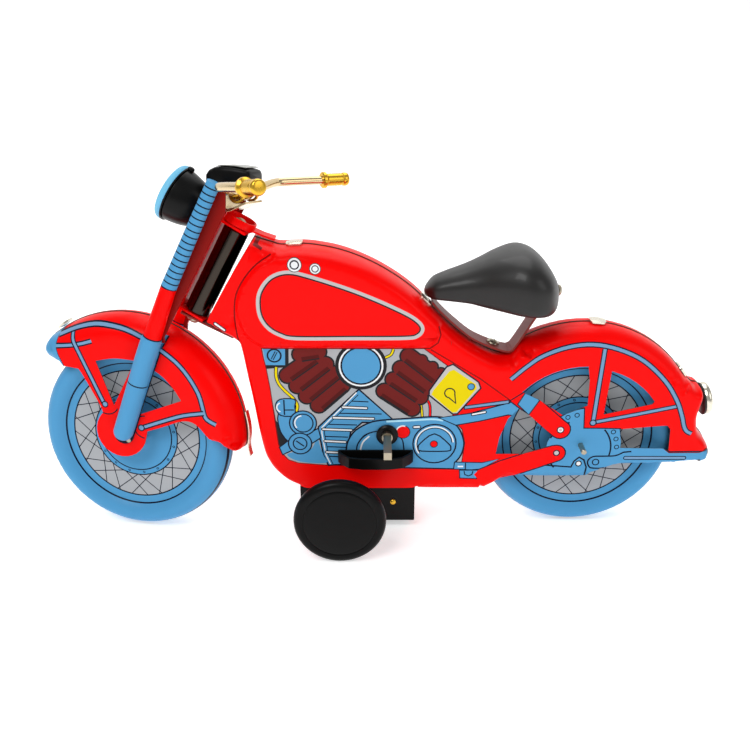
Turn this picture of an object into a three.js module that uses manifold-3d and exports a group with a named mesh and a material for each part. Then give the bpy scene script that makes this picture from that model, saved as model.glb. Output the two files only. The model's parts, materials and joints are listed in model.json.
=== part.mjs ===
// Tin wind-up motorcycle, about 24 cm long. Millimetres, +Z up, the front wheel towards -X,
// the left side towards -Y, the origin on the ground under the middle of the toy.
// The front fork is built straight and then turned as one group about the tilted steering axis,
// and the handlebar with its bracket is turned a little further.

import * as THREE from "three";
import { mergeVertices } from "three/addons/utils/BufferGeometryUtils.js";
import Module from "manifold-3d";

const wasm = await Module();
wasm.setup();

// ---- driving dimensions ----------------------------------------------------------------
const SHEET = 0.6;            // tinplate thickness
const GAP = 0.3;              // clearance between pieces that touch
const SEAM = 0.15;            // half the gap between the two halves of a pressing

const BODY_HALF = 10;         // half the width of the body shells
const TANK_HALF = 11.8;       // half the width over the raised tank sides
const SHOULDER = 3;           // rounding of the shells towards their seam

const REAR = { x: 73.3, z: 34.9 };       // rear axle
const REAR_TYRE = 34.9;
const FRONT = { x: -86.2, z: 35.5 };     // front axle
const FRONT_TYRE = 35.5;
const TYRE_HALF = 6;                     // half the width of a tyre
const RIM_RADIUS = 25.3;                 // printed spokes end here
const FENDER_WINDOW = 30.3;              // radius of the windows over the rear wheel

const STEER_POINT = new THREE.Vector3(-52.7, 0, 98.25);
const CASTER = 28.5 * Math.PI / 180;     // lean of the steering axis
const STEER_REST = -12 * Math.PI / 180;  // the fork stands turned to the right
const BAR_SKEW = -5 * Math.PI / 180;     // the handlebar and its bracket stand a little further round
const HEAD_RADIUS = 4.3;                 // chromed steering tube
const PIN_RADIUS = 1.1;

const WIND = { x: 4.3, z: 39.2 };        // winding arbor
const DRIVE = { x: -12.1, z: 15.9 };     // drive axle
const DRIVE_WHEEL = 15.9;
const MODULE = 0.8;                      // of every gear in the motor
const TEETH = { great: 36, middlePinion: 10, middle: 28, drive: 10, ratchet: 12 };
const PLATE = { half: 8.2, thick: 0.8 }; // motor plates: outer face and thickness
const COVER = { x0: -27.4, x1: 14.6, half: 9.1, bottom: 2.9, top: 17.4 };

const STEER_AXIS = new THREE.Vector3(Math.sin(CASTER), 0, Math.cos(CASTER));
const Y_AXIS = new THREE.Vector3(0, 1, 0);

// ---- helpers ---------------------------------------------------------------------------
const v2 = (x, y) => new THREE.Vector2(x, y);
const v3 = (x, y, z) => new THREE.Vector3(x, y, z);
const pairs = (list) => list.map(([x, y]) => v2(x, y));

// A closed solid from any closed geometry: shared vertices merged, faces turned outwards.
function solid(geometry) {
  const clean = geometry.index ? geometry.toNonIndexed() : geometry.clone();
  clean.deleteAttribute("normal");
  clean.deleteAttribute("uv");
  const merged = mergeVertices(clean, 1e-4);
  const at = merged.attributes.position;
  const index = merged.index.array;
  const kept = [];
  let volume = 0;
  const [a, b, c] = [v3(), v3(), v3()];
  for (let i = 0; i < index.length; i += 3) {
    const [p, q, r] = [index[i], index[i + 1], index[i + 2]];
    if (p === q || q === r || r === p) continue;
    volume += a.fromBufferAttribute(at, p).dot(
      b.fromBufferAttribute(at, q).cross(c.fromBufferAttribute(at, r)));
    kept.push(p, q, r);
  }
  if (volume < 0) kept.reverse();
  return new wasm.Manifold(new wasm.Mesh({
    numProp: 3,
    vertProperties: new Float32Array(at.array),
    triVerts: new Uint32Array(kept),
  }));
}

function geometryOf(body) {
  const mesh = body.getMesh();
  const geometry = new THREE.BufferGeometry();
  geometry.setAttribute("position", new THREE.BufferAttribute(mesh.vertProperties, 3));
  geometry.setIndex(new THREE.BufferAttribute(mesh.triVerts, 1));
  geometry.computeVertexNormals();
  return geometry;
}

const join = (...bodies) => bodies.reduce((all, next) => all.add(next));
const cut = (body, ...tools) => tools.reduce((rest, tool) => rest.subtract(tool), body);

// A side outline in (x, z), extruded along Y from y0 to y1, with rounded edges if asked.
function plate(outline, y0, y1, round = 0, holes = []) {
  const shape = new THREE.Shape(outline);
  shape.holes = holes.map((hole) => new THREE.Path(hole));
  const geometry = new THREE.ExtrudeGeometry(shape, {
    depth: y1 - y0 - 2 * round,
    bevelEnabled: round > 0,
    bevelThickness: round,
    bevelSize: round,
    bevelOffset: -round,
    bevelSegments: 1,
    steps: 1,
  });
  geometry.rotateX(Math.PI / 2);
  geometry.translate(0, y1 - round, 0);
  return solid(geometry);
}

// A turned piece about a line along Y through (x, z); the profile is (radius, y) points.
function turned(profile, centre = { x: 0, z: 0 }, segments = 24) {
  const geometry = new THREE.LatheGeometry(pairs(profile), segments);
  geometry.translate(centre.x, 0, centre.z);
  return solid(geometry);
}

// A turned piece about the line from one point to another; y in the profile runs along it.
function turnedAlong(profile, from, direction, segments = 24) {
  const geometry = new THREE.LatheGeometry(pairs(profile), segments);
  geometry.applyQuaternion(new THREE.Quaternion().setFromUnitVectors(Y_AXIS, direction));
  geometry.translate(from.x, from.y, from.z);
  return solid(geometry);
}

const rod = (radius, y0, y1, centre, segments = 16) =>
  turned([[0, y0], [radius, y0], [radius, y1], [0, y1]], centre, segments);

function rodBetween(radius, from, to, segments = 16) {
  const along = to.clone().sub(from);
  const length = along.length();
  return turnedAlong([[0, 0], [radius, 0], [radius, length], [0, length]],
    from, along.normalize(), segments);
}

const ring = (inner, outer, y0, y1, centre, segments = 24) =>
  turned([[inner, y0], [outer, y0], [outer, y1], [inner, y1], [inner, y0]], centre, segments);

function block(x0, x1, y0, y1, z0, z1) {
  const geometry = new THREE.BoxGeometry(x1 - x0, y1 - y0, z1 - z0);
  geometry.translate((x0 + x1) / 2, (y0 + y1) / 2, (z0 + z1) / 2);
  return solid(geometry);
}

function arc(centre, radius, from, to, steps) {
  return Array.from({ length: steps + 1 }, (_, i) => {
    const angle = (from + (to - from) * i / steps) * Math.PI / 180;
    return v2(centre.x + radius * Math.cos(angle), centre.z + radius * Math.sin(angle));
  });
}

const smooth = (points, steps) => new THREE.SplineCurve(pairs(points)).getPoints(steps);

// A closed body through rings of equal point counts, with flat ends.
function loft(rings) {
  const count = rings[0].length;
  const positions = rings.flat().flatMap((p) => [p.x, p.y, p.z]);
  const index = [];
  for (let i = 0; i + 1 < rings.length; i += 1) {
    for (let j = 0; j < count; j += 1) {
      const k = (j + 1) % count;
      const [a, b, c, d] = [i * count + j, i * count + k, (i + 1) * count + j, (i + 1) * count + k];
      index.push(a, b, d, a, d, c);
    }
  }
  const last = (rings.length - 1) * count;
  for (let j = 1; j + 1 < count; j += 1) {
    index.push(0, j + 1, j, last, last + j, last + j + 1);
  }
  const geometry = new THREE.BufferGeometry();
  geometry.setAttribute("position", new THREE.Float32BufferAttribute(positions, 3));
  geometry.setIndex(index);
  return solid(geometry);
}

// A flat strip of width 2 * half bent along a line of (x, z) points, lying on the line's left.
function strip(line, half, thick = SHEET) {
  const side = line.map((point, i) => {
    const before = line[Math.max(i - 1, 0)];
    const after = line[Math.min(i + 1, line.length - 1)];
    const along = after.clone().sub(before).normalize();
    return v2(point.x - along.y * thick, point.y + along.x * thick);
  });
  return plate([...line, ...side.reverse()], -half, half);
}

// ---- materials -------------------------------------------------------------------------
const finish = (color, roughness, metalness = 0) =>
  new THREE.MeshStandardMaterial({ color, roughness, metalness });

const RED = () => finish(0xe01a12, 0.25);
const DARK_RED = () => finish(0x8e2a26, 0.35);
const BLUE = () => finish(0x58a4d8, 0.3);
const BLACK = () => finish(0x141414, 0.3);
const STEEL = () => finish(0xb9b9b4, 0.35, 1);
const CHROME = () => finish(0xe6e6e6, 0.08, 1);
const BRASS = () => finish(0xd9a520, 0.25, 1);
const SPRING = () => finish(0x4a4c52, 0.35, 1);

const model = new THREE.Group();
model.name = "tin_motorcycle";

// A group turned about the steering axis; pieces added to it are built in the unturned frame.
function turnedGroup(angle, parent) {
  const turn = new THREE.Group();
  turn.position.copy(STEER_POINT);
  turn.quaternion.setFromAxisAngle(STEER_AXIS, angle);
  const straight = new THREE.Group();
  straight.position.copy(STEER_POINT).negate();
  turn.add(straight);
  parent.add(turn);
  return straight;
}
const fork = turnedGroup(STEER_REST, model);
const crown = turnedGroup(BAR_SKEW, fork);

function add(name, body, material, parent = model) {
  const mesh = new THREE.Mesh(geometryOf(body), material);
  mesh.name = name;
  parent.add(mesh);
}

// ---- body shells: neck, tank, frame, rear fender ----------------------------------------
const neckTop = [-41.4, 108.4];
const neckFoot = [-56.6, 80.6];

function bodyOutline() {
  const tankTop = smooth([[-31.4, 105], [-26, 105.7], [-20, 105.3], [-12, 103.7], [-4, 100.8],
    [4, 96.6], [12, 91], [20, 83.2], [28, 75.2], [36, 69.8], [44.5, 66.6], [48, 66.4]], 14);
  const fender = arc(REAR, 43.2, 121, 35, 10);
  const tail = smooth([[110.9, 57.4], [115.4, 55.2], [116.2, 51.5], [115.2, 46], [116, 40],
    [118.4, 35], [119.6, 31.2], [117.6, 27.6]], 7);
  const belly = [[88.4, 27.2], [82, 24.4], [77, 21.4], [52, 21.2], [46.8, 20.8], [40.4, 17]];
  const downTube = [[-27, 17], [-33.5, 20.4], [-37.8, 25.4], [-40.4, 31.4], [-43.8, 54], [-46.8, 73]];
  return [v2(...neckTop), v2(-35, 106.4), ...tankTop, ...fender, ...tail,
    ...pairs(belly), ...pairs(downTube), v2(...neckFoot)];
}

function tankOutline() {
  const top = smooth([[-38, 101.6], [-32.6, 103.8], [-26, 104.2], [-19, 104], [-12, 102.2],
    [-4, 99.2], [4, 95], [12, 88.6], [20.6, 80.2]], 8);
  const front = smooth([[-39.4, 73.4], [-44, 77.4], [-46.2, 83.6], [-45, 92], [-42, 98.4]], 5);
  return [...top, v2(22, 76), v2(19.4, 72.8), ...front];
}

function bodySolid(inset) {
  const outline = bodyOutline();
  const shrunk = inset > 0 ? offset(outline, inset) : outline;
  const tank = inset > 0 ? offset(tankOutline(), inset) : tankOutline();
  return join(
    plate(shrunk, -BODY_HALF + inset, BODY_HALF - inset, SHOULDER - inset / 2),
    plate(tank, -TANK_HALF + inset, TANK_HALF - inset, 1.4));
}

// The outline moved inwards by a distance; the outline runs clockwise seen from the left side.
function offset(points, distance) {
  const area = THREE.ShapeUtils.area(points);
  const sign = area > 0 ? 1 : -1;
  return points.map((point, i) => {
    const before = points[(i + points.length - 1) % points.length];
    const after = points[(i + 1) % points.length];
    const a = point.clone().sub(before).normalize();
    const b = after.clone().sub(point).normalize();
    const normal = v2(-(a.y + b.y), a.x + b.x).normalize();
    const lean = Math.max(normal.dot(v2(-a.y, a.x)), 0.5);
    return point.clone().addScaledVector(normal, sign * distance / lean);
  });
}

function rearWindows() {
  return [
    [...arc(REAR, FENDER_WINDOW, 130, 90, 4), v2(74, 49), v2(66, 47)],
    [v2(81, 48.8), ...arc(REAR, FENDER_WINDOW, 39, 73, 4)],
    [v2(61.4, 40), v2(60.2, 33.9), ...arc(REAR, FENDER_WINDOW, 182, 148, 4)],
    [v2(88, 41.6), v2(88, 33.8), ...arc(REAR, FENDER_WINDOW, -2, 20, 3)],
  ];
}

function buildBody() {
  const pin = STEER_POINT.clone().addScaledVector(STEER_AXIS, -40);
  const far = STEER_POINT.clone().addScaledVector(STEER_AXIS, 40);
  const openings = [
    ...rearWindows().map((outline) => plate(outline, -20, 20)),
    rod(1.2, -20, 20, REAR, 8),
    rod(3.5, -20, 0, WIND, 12),
    rodBetween(HEAD_RADIUS + 0.8, pin, far, 16),
    block(COVER.x0 - 0.5, COVER.x1 + 0.5, -COVER.half - 0.2, COVER.half + 0.2, 10, 20.4),
    rod(REAR_TYRE + 1.2, -TYRE_HALF - 1, TYRE_HALF + 1, REAR, 24),
  ];
  const shell = cut(bodySolid(0), bodySolid(SHEET), ...openings);
  add("body_shell_left", cut(shell, block(-200, 200, -SEAM, 50, -50, 200)), RED());
  add("body_shell_right", cut(shell, block(-200, 200, -50, SEAM, -50, 200)), RED());
}

// ---- seat, rear light, bent tabs ----------------------------------------------------------
function saddleRing(x, low, high, half) {
  const middle = (low + high) / 2;
  return Array.from({ length: 14 }, (_, i) => {
    const angle = 2 * Math.PI * i / 14;
    const [c, s] = [Math.cos(angle), Math.sin(angle)];
    const square = (value) => Math.sign(value) * Math.abs(value) ** 0.75;
    return v3(x, half * square(c), middle + (high - low) / 2 * square(s));
  });
}

function buildSeat() {
  const sections = [[17.2, 88.4, 90.6, 3.2], [20, 87.6, 94, 7.2], [28, 87.2, 97, 9], [36, 86.2, 100.2, 12],
    [42, 84.6, 103.6, 16], [48, 83, 105.6, 19.2], [54, 82.4, 103.6, 18.6], [59, 83.2, 98.6, 14.6],
    [62.4, 86, 93, 7]];
  add("saddle", loft(sections.map(([x, low, high, half]) => saddleRing(x, low, high, half))), BLACK());
  add("saddle_rivet", turnedAlong([[0, 0], [0.9, 0], [1.6, 0.5], [1.1, 1.1], [0, 1.3]],
    v3(62.8, 0, 89.4), v3(1, 0, 0), 12), STEEL());

  const rise = smooth([[19.6, 85.6], [26, 78.8], [33, 73], [40, 69.6], [46.4, 67.6]], 10);
  const bracket = [...rise, v2(48.6, 70), v2(55.4, 81.2), v2(50, 82)];
  add("seat_bracket", cut(strip(bracket, 4.4, 0.8), rodBetween(1.2, v3(39.7, 0, 65), v3(42.7, 0, 75), 10)),
    DARK_RED());
  add("seat_screw", turnedAlong([[0, -1.4], [0.9, -1.4], [0.9, 0], [2, 0], [1.7, 0.9], [0, 1.2]],
    v3(41.4, 0, 70.7), v3(0.287, 0, 0.958).normalize(), 16), STEEL());

  const lampAxis = v3(0.985, 0, 0.17).normalize();
  const lampBase = v3(117.3, 0, 48.6);
  add("tail_gasket", turnedAlong([[0, 0], [5.9, 0], [5.9, 1.1], [0, 1.1]], lampBase, lampAxis, 20), BLACK());
  add("tail_lamp", turnedAlong([[0, 0], [5.6, 0], [5.6, 1.6], [4.6, 2.6], [2.6, 3.2], [0, 3.5]],
    lampBase.clone().addScaledVector(lampAxis, 1.1 + GAP), lampAxis, 20), CHROME());
}

// A tab bent flat over a seam: a small curved plate lying on the crest at (x, z).
function tab(x, z, slope, length = 5.4, half = 3) {
  const angle = slope * Math.PI / 180;
  const [c, s] = [Math.cos(angle), Math.sin(angle)];
  const line = [-0.5, -0.25, 0, 0.25, 0.5].map((t) => {
    const [u, w] = [t * length, 0.35 * (1 - 4 * t * t)];
    return v2(x + u * c - w * s, z + u * s + w * c);
  });
  return strip(line, half, 0.7);
}

function buildBodyTabs() {
  const places = [["tank_tab_front", -27, 106.1, 4], ["tank_tab_rear", 17.4, 86.5, -45],
    ["fender_tab_top", 77.2, 78.5, -5], ["fender_tab_rear", 108.9, 60.2, -54]];
  for (const [name, x, z, slope] of places) add(name, tab(x, z, slope), STEEL());
}

// ---- steering head -------------------------------------------------------------------------
const onAxis = (along, forward = 0) => STEER_POINT.clone()
  .addScaledVector(STEER_AXIS, along)
  .addScaledVector(v3(-Math.cos(CASTER), 0, Math.sin(CASTER)), forward);
const axisPoint = (along, forward) => {
  const p = onAxis(along, forward);
  return v2(p.x, p.z);
};

// A shape in (forward, across) coordinates extruded along the steering axis.
function onHead(shape, from, to) {
  const geometry = new THREE.ExtrudeGeometry(shape, { depth: to - from, bevelEnabled: false, curveSegments: 6 });
  const forward = v3(-Math.cos(CASTER), 0, Math.sin(CASTER));
  geometry.applyMatrix4(new THREE.Matrix4().makeBasis(forward, v3(0, -1, 0), STEER_AXIS));
  geometry.translate(...onAxis(from));
  return solid(geometry);
}

// An oblong with round ends, its long side forward.
function oblong(front, rear, half) {
  const shape = new THREE.Shape();
  shape.absarc(front - half, 0, half, -Math.PI / 2, Math.PI / 2);
  shape.absarc(rear + half, 0, half, Math.PI / 2, 3 * Math.PI / 2);
  return shape;
}
const HEAD_LOW = -18.2;
const HEAD_HIGH = 14.4;
const EAR = 0.8;
const DISH = { front: 5.4, rear: -5.4, half: 4.4, high: 3 };   // upper bracket, a small tray

function pinHole(radius = PIN_RADIUS + 0.15) {
  return rodBetween(radius, onAxis(-40), onAxis(40), 12);
}

function buildSteeringHead() {
  const top = HEAD_HIGH + 2 * GAP + EAR;
  const low = HEAD_LOW - 2 * GAP - 2 * EAR;
  const topLine = [axisPoint(top, 2), axisPoint(top, -5), v2(-37.6, 108.6), v2(-33.8, 107.2)];
  const { front, rear, half, high } = DISH;
  const dish = cut(onHead(oblong(front, rear, half), top, top + high),
    onHead(oblong(front - SHEET, rear + SHEET, half - SHEET), top + EAR, top + high + 1));
  const lowLine = [axisPoint(low, 4.4), axisPoint(low, -6.4), v2(-49.2, 73.3)];
  add("head_bracket_top", cut(join(strip(topLine, 2.4, EAR), dish), pinHole()), RED());
  add("head_bracket_bottom", cut(strip(lowLine, 4.4, EAR), pinHole()), DARK_RED());
  add("steering_pin", join(
    rodBetween(PIN_RADIUS, onAxis(low - 2), onAxis(top + EAR + 2), 12),
    rodBetween(2, onAxis(top + EAR + GAP), onAxis(top + EAR + 2), 12),
    rodBetween(2, onAxis(low - 2), onAxis(low - GAP), 12)), STEEL());
}

// ---- fork, with the front fender pressed from the same sheets --------------------------------
const FORK_LEAN = v3(-39.2, 0, -89.4).normalize();
const FORK_TOP = v3(-48.8, 0, 126.8);
const LEG_Y = 12.4;
const LEG = 3.2;
const SLEEVE = 4;
const LEG_LENGTH = 97.6;
const SLEEVE_START = 60;
const FENDER_HALF = 9.5;
const FENDER_ARC = { x: -88.5, z: 37 };
const HUB_PLATE = { x: -88.6, z: 38.6 };

function fenderOutline() {
  const crest = arc(FENDER_ARC, 43.4, -3, 126, 14);
  const nose = [[-117.6, 70.8], [-118.4, 67.6], [-115.6, 63.4], [-110.8, 60.6], [-103.6, 60.4]];
  const flare = [[-66.4, 43.9], [-62.4, 43.4], [-58.8, 39.8], [-54.5, 36.2], [-50.4, 34.2]];
  return [...crest, ...pairs(nose), v2(-102, 59.6), v2(-96.4, 47.2),
    ...arc(HUB_PLATE, 9.7, 133, 355, 8), ...pairs(flare)];
}

function legSolid(side, inset) {
  const y = side * LEG_Y;
  const top = FORK_TOP.clone().setY(y);
  const [thin, thick] = [LEG - inset, SLEEVE - inset];
  const end = LEG_LENGTH - inset;
  const start = -2 * inset;
  return turnedAlong([[0, start], [thin, start], [thin, SLEEVE_START], [thick, SLEEVE_START + 1.5],
    [thick, end - 4], [thick * 0.87, end - 2], [thick * 0.5, end - 0.6], [0, end]], top, FORK_LEAN, 14);
}

function buildForkSide(side, name) {
  const halfSpace = side < 0 ? block(-200, 200, -SEAM, 50, -50, 200) : block(-200, 200, -50, SEAM, -50, 200);
  const legLine = (along, across) => {
    const p = FORK_TOP.clone().addScaledVector(FORK_LEAN, along)
      .addScaledVector(v3(-FORK_LEAN.z, 0, FORK_LEAN.x), across);
    return v2(p.x, p.z);
  };
  const web = [legLine(0, -1.5), legLine(SLEEVE_START, -1.5), axisPoint(-30, 2.6), axisPoint(20, 3.4),
    legLine(1, 3.4)];
  const flat = side * (FENDER_HALF + 0.9);
  const flange = plate(web, Math.min(flat, flat - side * SHEET), Math.max(flat, flat - side * SHEET));
  const inner = offset(fenderOutline(), SHEET);
  const legSides = plate([legLine(0, -LEG), legLine(SLEEVE_START, -LEG), legLine(SLEEVE_START, LEG),
    legLine(0, LEG)], Math.min(flat, side * LEG_Y), Math.max(flat, side * LEG_Y));
  const outside = join(plate(fenderOutline(), -FENDER_HALF, FENDER_HALF, SHOULDER), legSolid(side, 0),
    legSides, flange);
  const inside = join(plate(inner, -FENDER_HALF + SHEET, FENDER_HALF - SHEET, SHOULDER - 0.3),
    legSolid(side, SHEET));
  const trough = [legLine(-2, -LEG + SHEET), legLine(SLEEVE_START, -LEG + SHEET),
    legLine(SLEEVE_START, LEG - SHEET), legLine(-2, LEG - SHEET)];
  const low = side < 0 ? -LEG_Y : 0;
  const openTrough = plate(trough, low, low + LEG_Y);
  const backOfLeg = plate([legLine(-4, -6), legLine(44, -6), legLine(44, 6), legLine(-4, 6)],
    side < 0 ? -FENDER_HALF - 0.3 : 0, side < 0 ? 0 : FENDER_HALF + 0.3);
  const windows = [
    [[-96.4, 64.2], [-88.4, 65.6], [-81.6, 65.2], [-90.4, 48.8]],
    [[-74, 62], [-69.8, 58.2], [-65.8, 51.9], [-80.3, 46.2]],
  ].map((outline) => cut(plate(pairs(outline), -30, 30), legSolid(side, 0)));
  const tools = [inside, openTrough, backOfLeg, halfSpace, ...windows,
    rod(FRONT_TYRE + 1.2, -TYRE_HALF - 0.9, TYRE_HALF + 0.9, FRONT, 24),
    rod(1.15, -9.8, 9.8, FRONT, 12)];
  add(name, cut(outside, ...tools), RED(), fork);
}

function buildYoke() {
  const half = FENDER_HALF - 0.2;
  const front = HEAD_RADIUS + 0.6;
  const [low, high] = [HEAD_LOW - GAP, HEAD_HIGH + GAP];
  const channel = [axisPoint(low - EAR, front + EAR), axisPoint(high + EAR, front + EAR),
    axisPoint(high + EAR, -HEAD_RADIUS), axisPoint(high, -HEAD_RADIUS), axisPoint(high, front),
    axisPoint(low, front), axisPoint(low, -HEAD_RADIUS), axisPoint(low - EAR, -HEAD_RADIUS)];
  const narrow = 4.6;
  const web = plate([channel[0], channel[1], channel[4], channel[5]], -half, half);
  const lampLug = plate([v2(-58.6, 113.1), v2(-56.3, 116.3), axisPoint(high + EAR, front + 0.4),
    axisPoint(high - 4, front + 0.4)], -5, 5);
  add("fork_yoke", cut(join(plate(channel, -narrow, narrow), web, lampLug), pinHole()), RED(), fork);
  add("steering_tube", cut(rodBetween(HEAD_RADIUS, onAxis(HEAD_LOW), onAxis(HEAD_HIGH), 20), pinHole()),
    CHROME(), fork);
}

function buildFenderTabs() {
  add("front_tab_nose", tab(-111.6, 75, 37, 5, 2.8), STEEL(), fork);
  const tail = [[-44.6, 46.6], [-43.6, 42], [-43.4, 38], [-44, 33], [-43.2, 29.6]];
  add("front_tab_tail", strip(pairs(tail).reverse(), 1.6, 0.5), STEEL(), fork);
}

// ---- headlamp, cowl, handlebar ----------------------------------------------------------------
const LAMP_AXIS = v3(-0.8192, 0, 0.5736);
const LAMP_RIM = v3(-67, 0, 121.4);

function buildLamp() {
  const back = LAMP_RIM.clone().addScaledVector(LAMP_AXIS, -11.4);
  add("headlamp_shell", cut(
    turnedAlong([[0, 0], [3.4, 0.3], [6.4, 2], [8.2, 5], [9.2, 10.4], [9.2, 11.2], [0, 11.2]], back, LAMP_AXIS, 20),
    turnedAlong([[0, 0.8], [3.2, 1], [5.8, 2.6], [7.5, 5.2], [8.5, 10.4], [8.5, 12], [0, 12]], back, LAMP_AXIS, 20)),
  BLACK(), fork);
  add("headlamp_rim", turnedAlong([[7.7, 0], [9.7, 0], [9.9, 1.8], [9.5, 2.6], [7.7, 2.9], [7.7, 0]],
    LAMP_RIM.clone().addScaledVector(LAMP_AXIS, 0.1), LAMP_AXIS, 20), BLUE(), fork);
  add("headlamp_lens", turnedAlong([[0, 0.4], [7.4, 0.4], [7.4, 1.2], [5, 2.3], [2.6, 2.8], [0, 3]],
    LAMP_RIM, LAMP_AXIS, 20), finish(0xe9edf0, 0.15), fork);
}

function buildCowl() {
  const outline = [[-54.6, 126.8], [-53.4, 128.6], [-51, 130.3], [-47.6, 131], [-41.6, 130.4],
    [-39.2, 129.2], [-38.8, 126.8]];
  add("instrument_cowl", plate(pairs(outline).reverse(), -6.4, 6.4, 0.8), BLACK(), crown);
}

const BAR = { clamp: v3(-43.4, 3.4, 121.6), bend: v3(-41, 23.7, 125.1), flange: v3(-28.1, 35.1, 125.9) };
const BAR_RADIUS = 1.5;

function barCurve() {
  const mirror = (p) => v3(p.x, -p.y, p.z);
  const rise = v3(-42.8, 8, 122.8);
  return new THREE.CatmullRomCurve3([mirror(BAR.flange), mirror(BAR.bend), v3(-41.8, -17, 124.4), mirror(rise),
    mirror(BAR.clamp), BAR.clamp, rise, v3(-41.8, 17, 124.4), BAR.bend, BAR.flange], false, "catmullrom", 0.35);
}

function buildHandlebar() {
  const section = new THREE.Shape(arc({ x: 0, z: 0 }, BAR_RADIUS, 0, 315, 7));
  add("handlebar", solid(new THREE.ExtrudeGeometry(section, {
    steps: 26, extrudePath: barCurve(), bevelEnabled: false,
  })), CHROME(), crown);
  for (const [side, name] of [[-1, "grip_left"], [1, "grip_right"]]) {
    const start = BAR.flange.clone().multiply(v3(1, side, 1));
    const along = start.clone().sub(BAR.bend.clone().multiply(v3(1, side, 1))).normalize();
    add(name, turnedAlong([[0, 0], [3.2, 0], [3.2, 1.5], [2.45, 2.4], [2.45, 7.2], [2.1, 7.7], [2.7, 8.4],
      [2.7, 9.4], [1.9, 10.2], [0, 10.4]], start.addScaledVector(along, GAP), along, 14), BRASS(), crown);
  }
  const clampLine = [[-49.4, 121], [-46.4, 116.6], [-39.8, 119.4]];
  add("handlebar_bracket", cut(
    strip(pairs(clampLine), 7, 0.8),
    pinHole(2.4)), CHROME(), crown);
  for (const [side, name] of [[-1, "ferrule_left"], [1, "ferrule_right"]]) {
    add(name, ring(BAR_RADIUS + 0.5, 2.6, side < 0 ? -6.6 : 5, side < 0 ? -5 : 6.6,
      { x: -43.1, z: 122 }, 14), BRASS(), crown);
  }
}

// ---- wheels --------------------------------------------------------------------------------
// One pressed half of a road wheel: a bulged tyre, a flat printed spoke disc and a raised hub.
function wheelHalf(centre, tyre, side) {
  const outer = [[1.15, 4.9], [4, 4.9], [5.6, 3.4], [RIM_RADIUS, 3.2], [29.4, 5.7], [tyre - 3, TYRE_HALF],
    [tyre - 0.8, 4], [tyre, SEAM]];
  const inner = [[tyre - SHEET, SEAM], [tyre - 3, 5.3], [29.6, 5.1], [RIM_RADIUS, 2.6], [5.4, 2.8],
    [1.15, 4.3]];
  const profile = [...outer, ...inner, outer[0]].map(([r, y]) => [r, side * y]);
  return turned(profile, centre, 32);
}

function buildRoadWheels() {
  add("rear_wheel_left", wheelHalf(REAR, REAR_TYRE, -1), BLUE());
  add("rear_wheel_right", wheelHalf(REAR, REAR_TYRE, 1), BLUE());
  add("rear_axle", rod(0.95, -15.8, 15.8, REAR, 12), STEEL());
  add("front_wheel_left", wheelHalf(FRONT, FRONT_TYRE, -1), BLUE(), fork);
  add("front_wheel_right", wheelHalf(FRONT, FRONT_TYRE, 1), BLUE(), fork);
  add("front_axle", rod(0.95, -9.6, 9.6, FRONT, 12), STEEL(), fork);
}

function buildDriveWheels() {
  for (const [side, name] of [[-1, "left"], [1, "right"]]) {
    const profile = [[1.35, 27.9], [11, 27.9], [DRIVE_WHEEL - 0.8, 28.2], [DRIVE_WHEEL, 29.2], [DRIVE_WHEEL, 30.6],
      [DRIVE_WHEEL - 1.4, 31.7], [9, 32.5], [1.35, 32.8], [1.35, 27.9]];
    add(`drive_wheel_${name}`, turned(profile.map(([r, y]) => [r, side * y]), DRIVE, 28), BLACK());
  }
  add("drive_axle", rod(1.3, -33.4, 33.4, DRIVE, 16), STEEL());
}

// ---- clockwork motor -----------------------------------------------------------------------
const pitch = (teeth) => MODULE * teeth / 2;

// The idler sits where the distances to both other arbors suit the gears that mesh there.
function middleArbor() {
  const [dx, dz] = [DRIVE.x - WIND.x, DRIVE.z - WIND.z];
  const span = Math.hypot(dx, dz);
  const fromWind = pitch(TEETH.great) + pitch(TEETH.middlePinion);
  const fromDrive = pitch(TEETH.middle) + pitch(TEETH.drive);
  const along = (fromWind ** 2 - fromDrive ** 2 + span ** 2) / (2 * span);
  const away = Math.sqrt(fromWind ** 2 - along ** 2);
  return {
    x: WIND.x + along * dx / span + away * dz / span,
    z: WIND.z + along * dz / span - away * dx / span,
  };
}
const MIDDLE = middleArbor();

// Gear with trapezoid teeth and one tooth centred on the given direction (radians).
function gear(teeth, centre, y0, y1, toothAt, bore) {
  const radius = pitch(teeth);
  const profile = [[-0.21, -1.15], [-0.1, 0.85], [0.1, 0.85], [0.21, -1.15]];
  const points = Array.from({ length: teeth }, (_, tooth) => profile.map(([t, h]) => {
    const angle = toothAt + (tooth + t) * 2 * Math.PI / teeth;
    const r = radius + h * MODULE;
    return v2(centre.x + r * Math.cos(angle), centre.z + r * Math.sin(angle));
  })).flat();
  const hole = arc(centre, bore, 0, 330, 11);
  return plate(points, y0, y1, 0, bore > 0 ? [hole] : []);
}

const bearing = (from, to) => Math.atan2(to.z - from.z, to.x - from.x);

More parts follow.
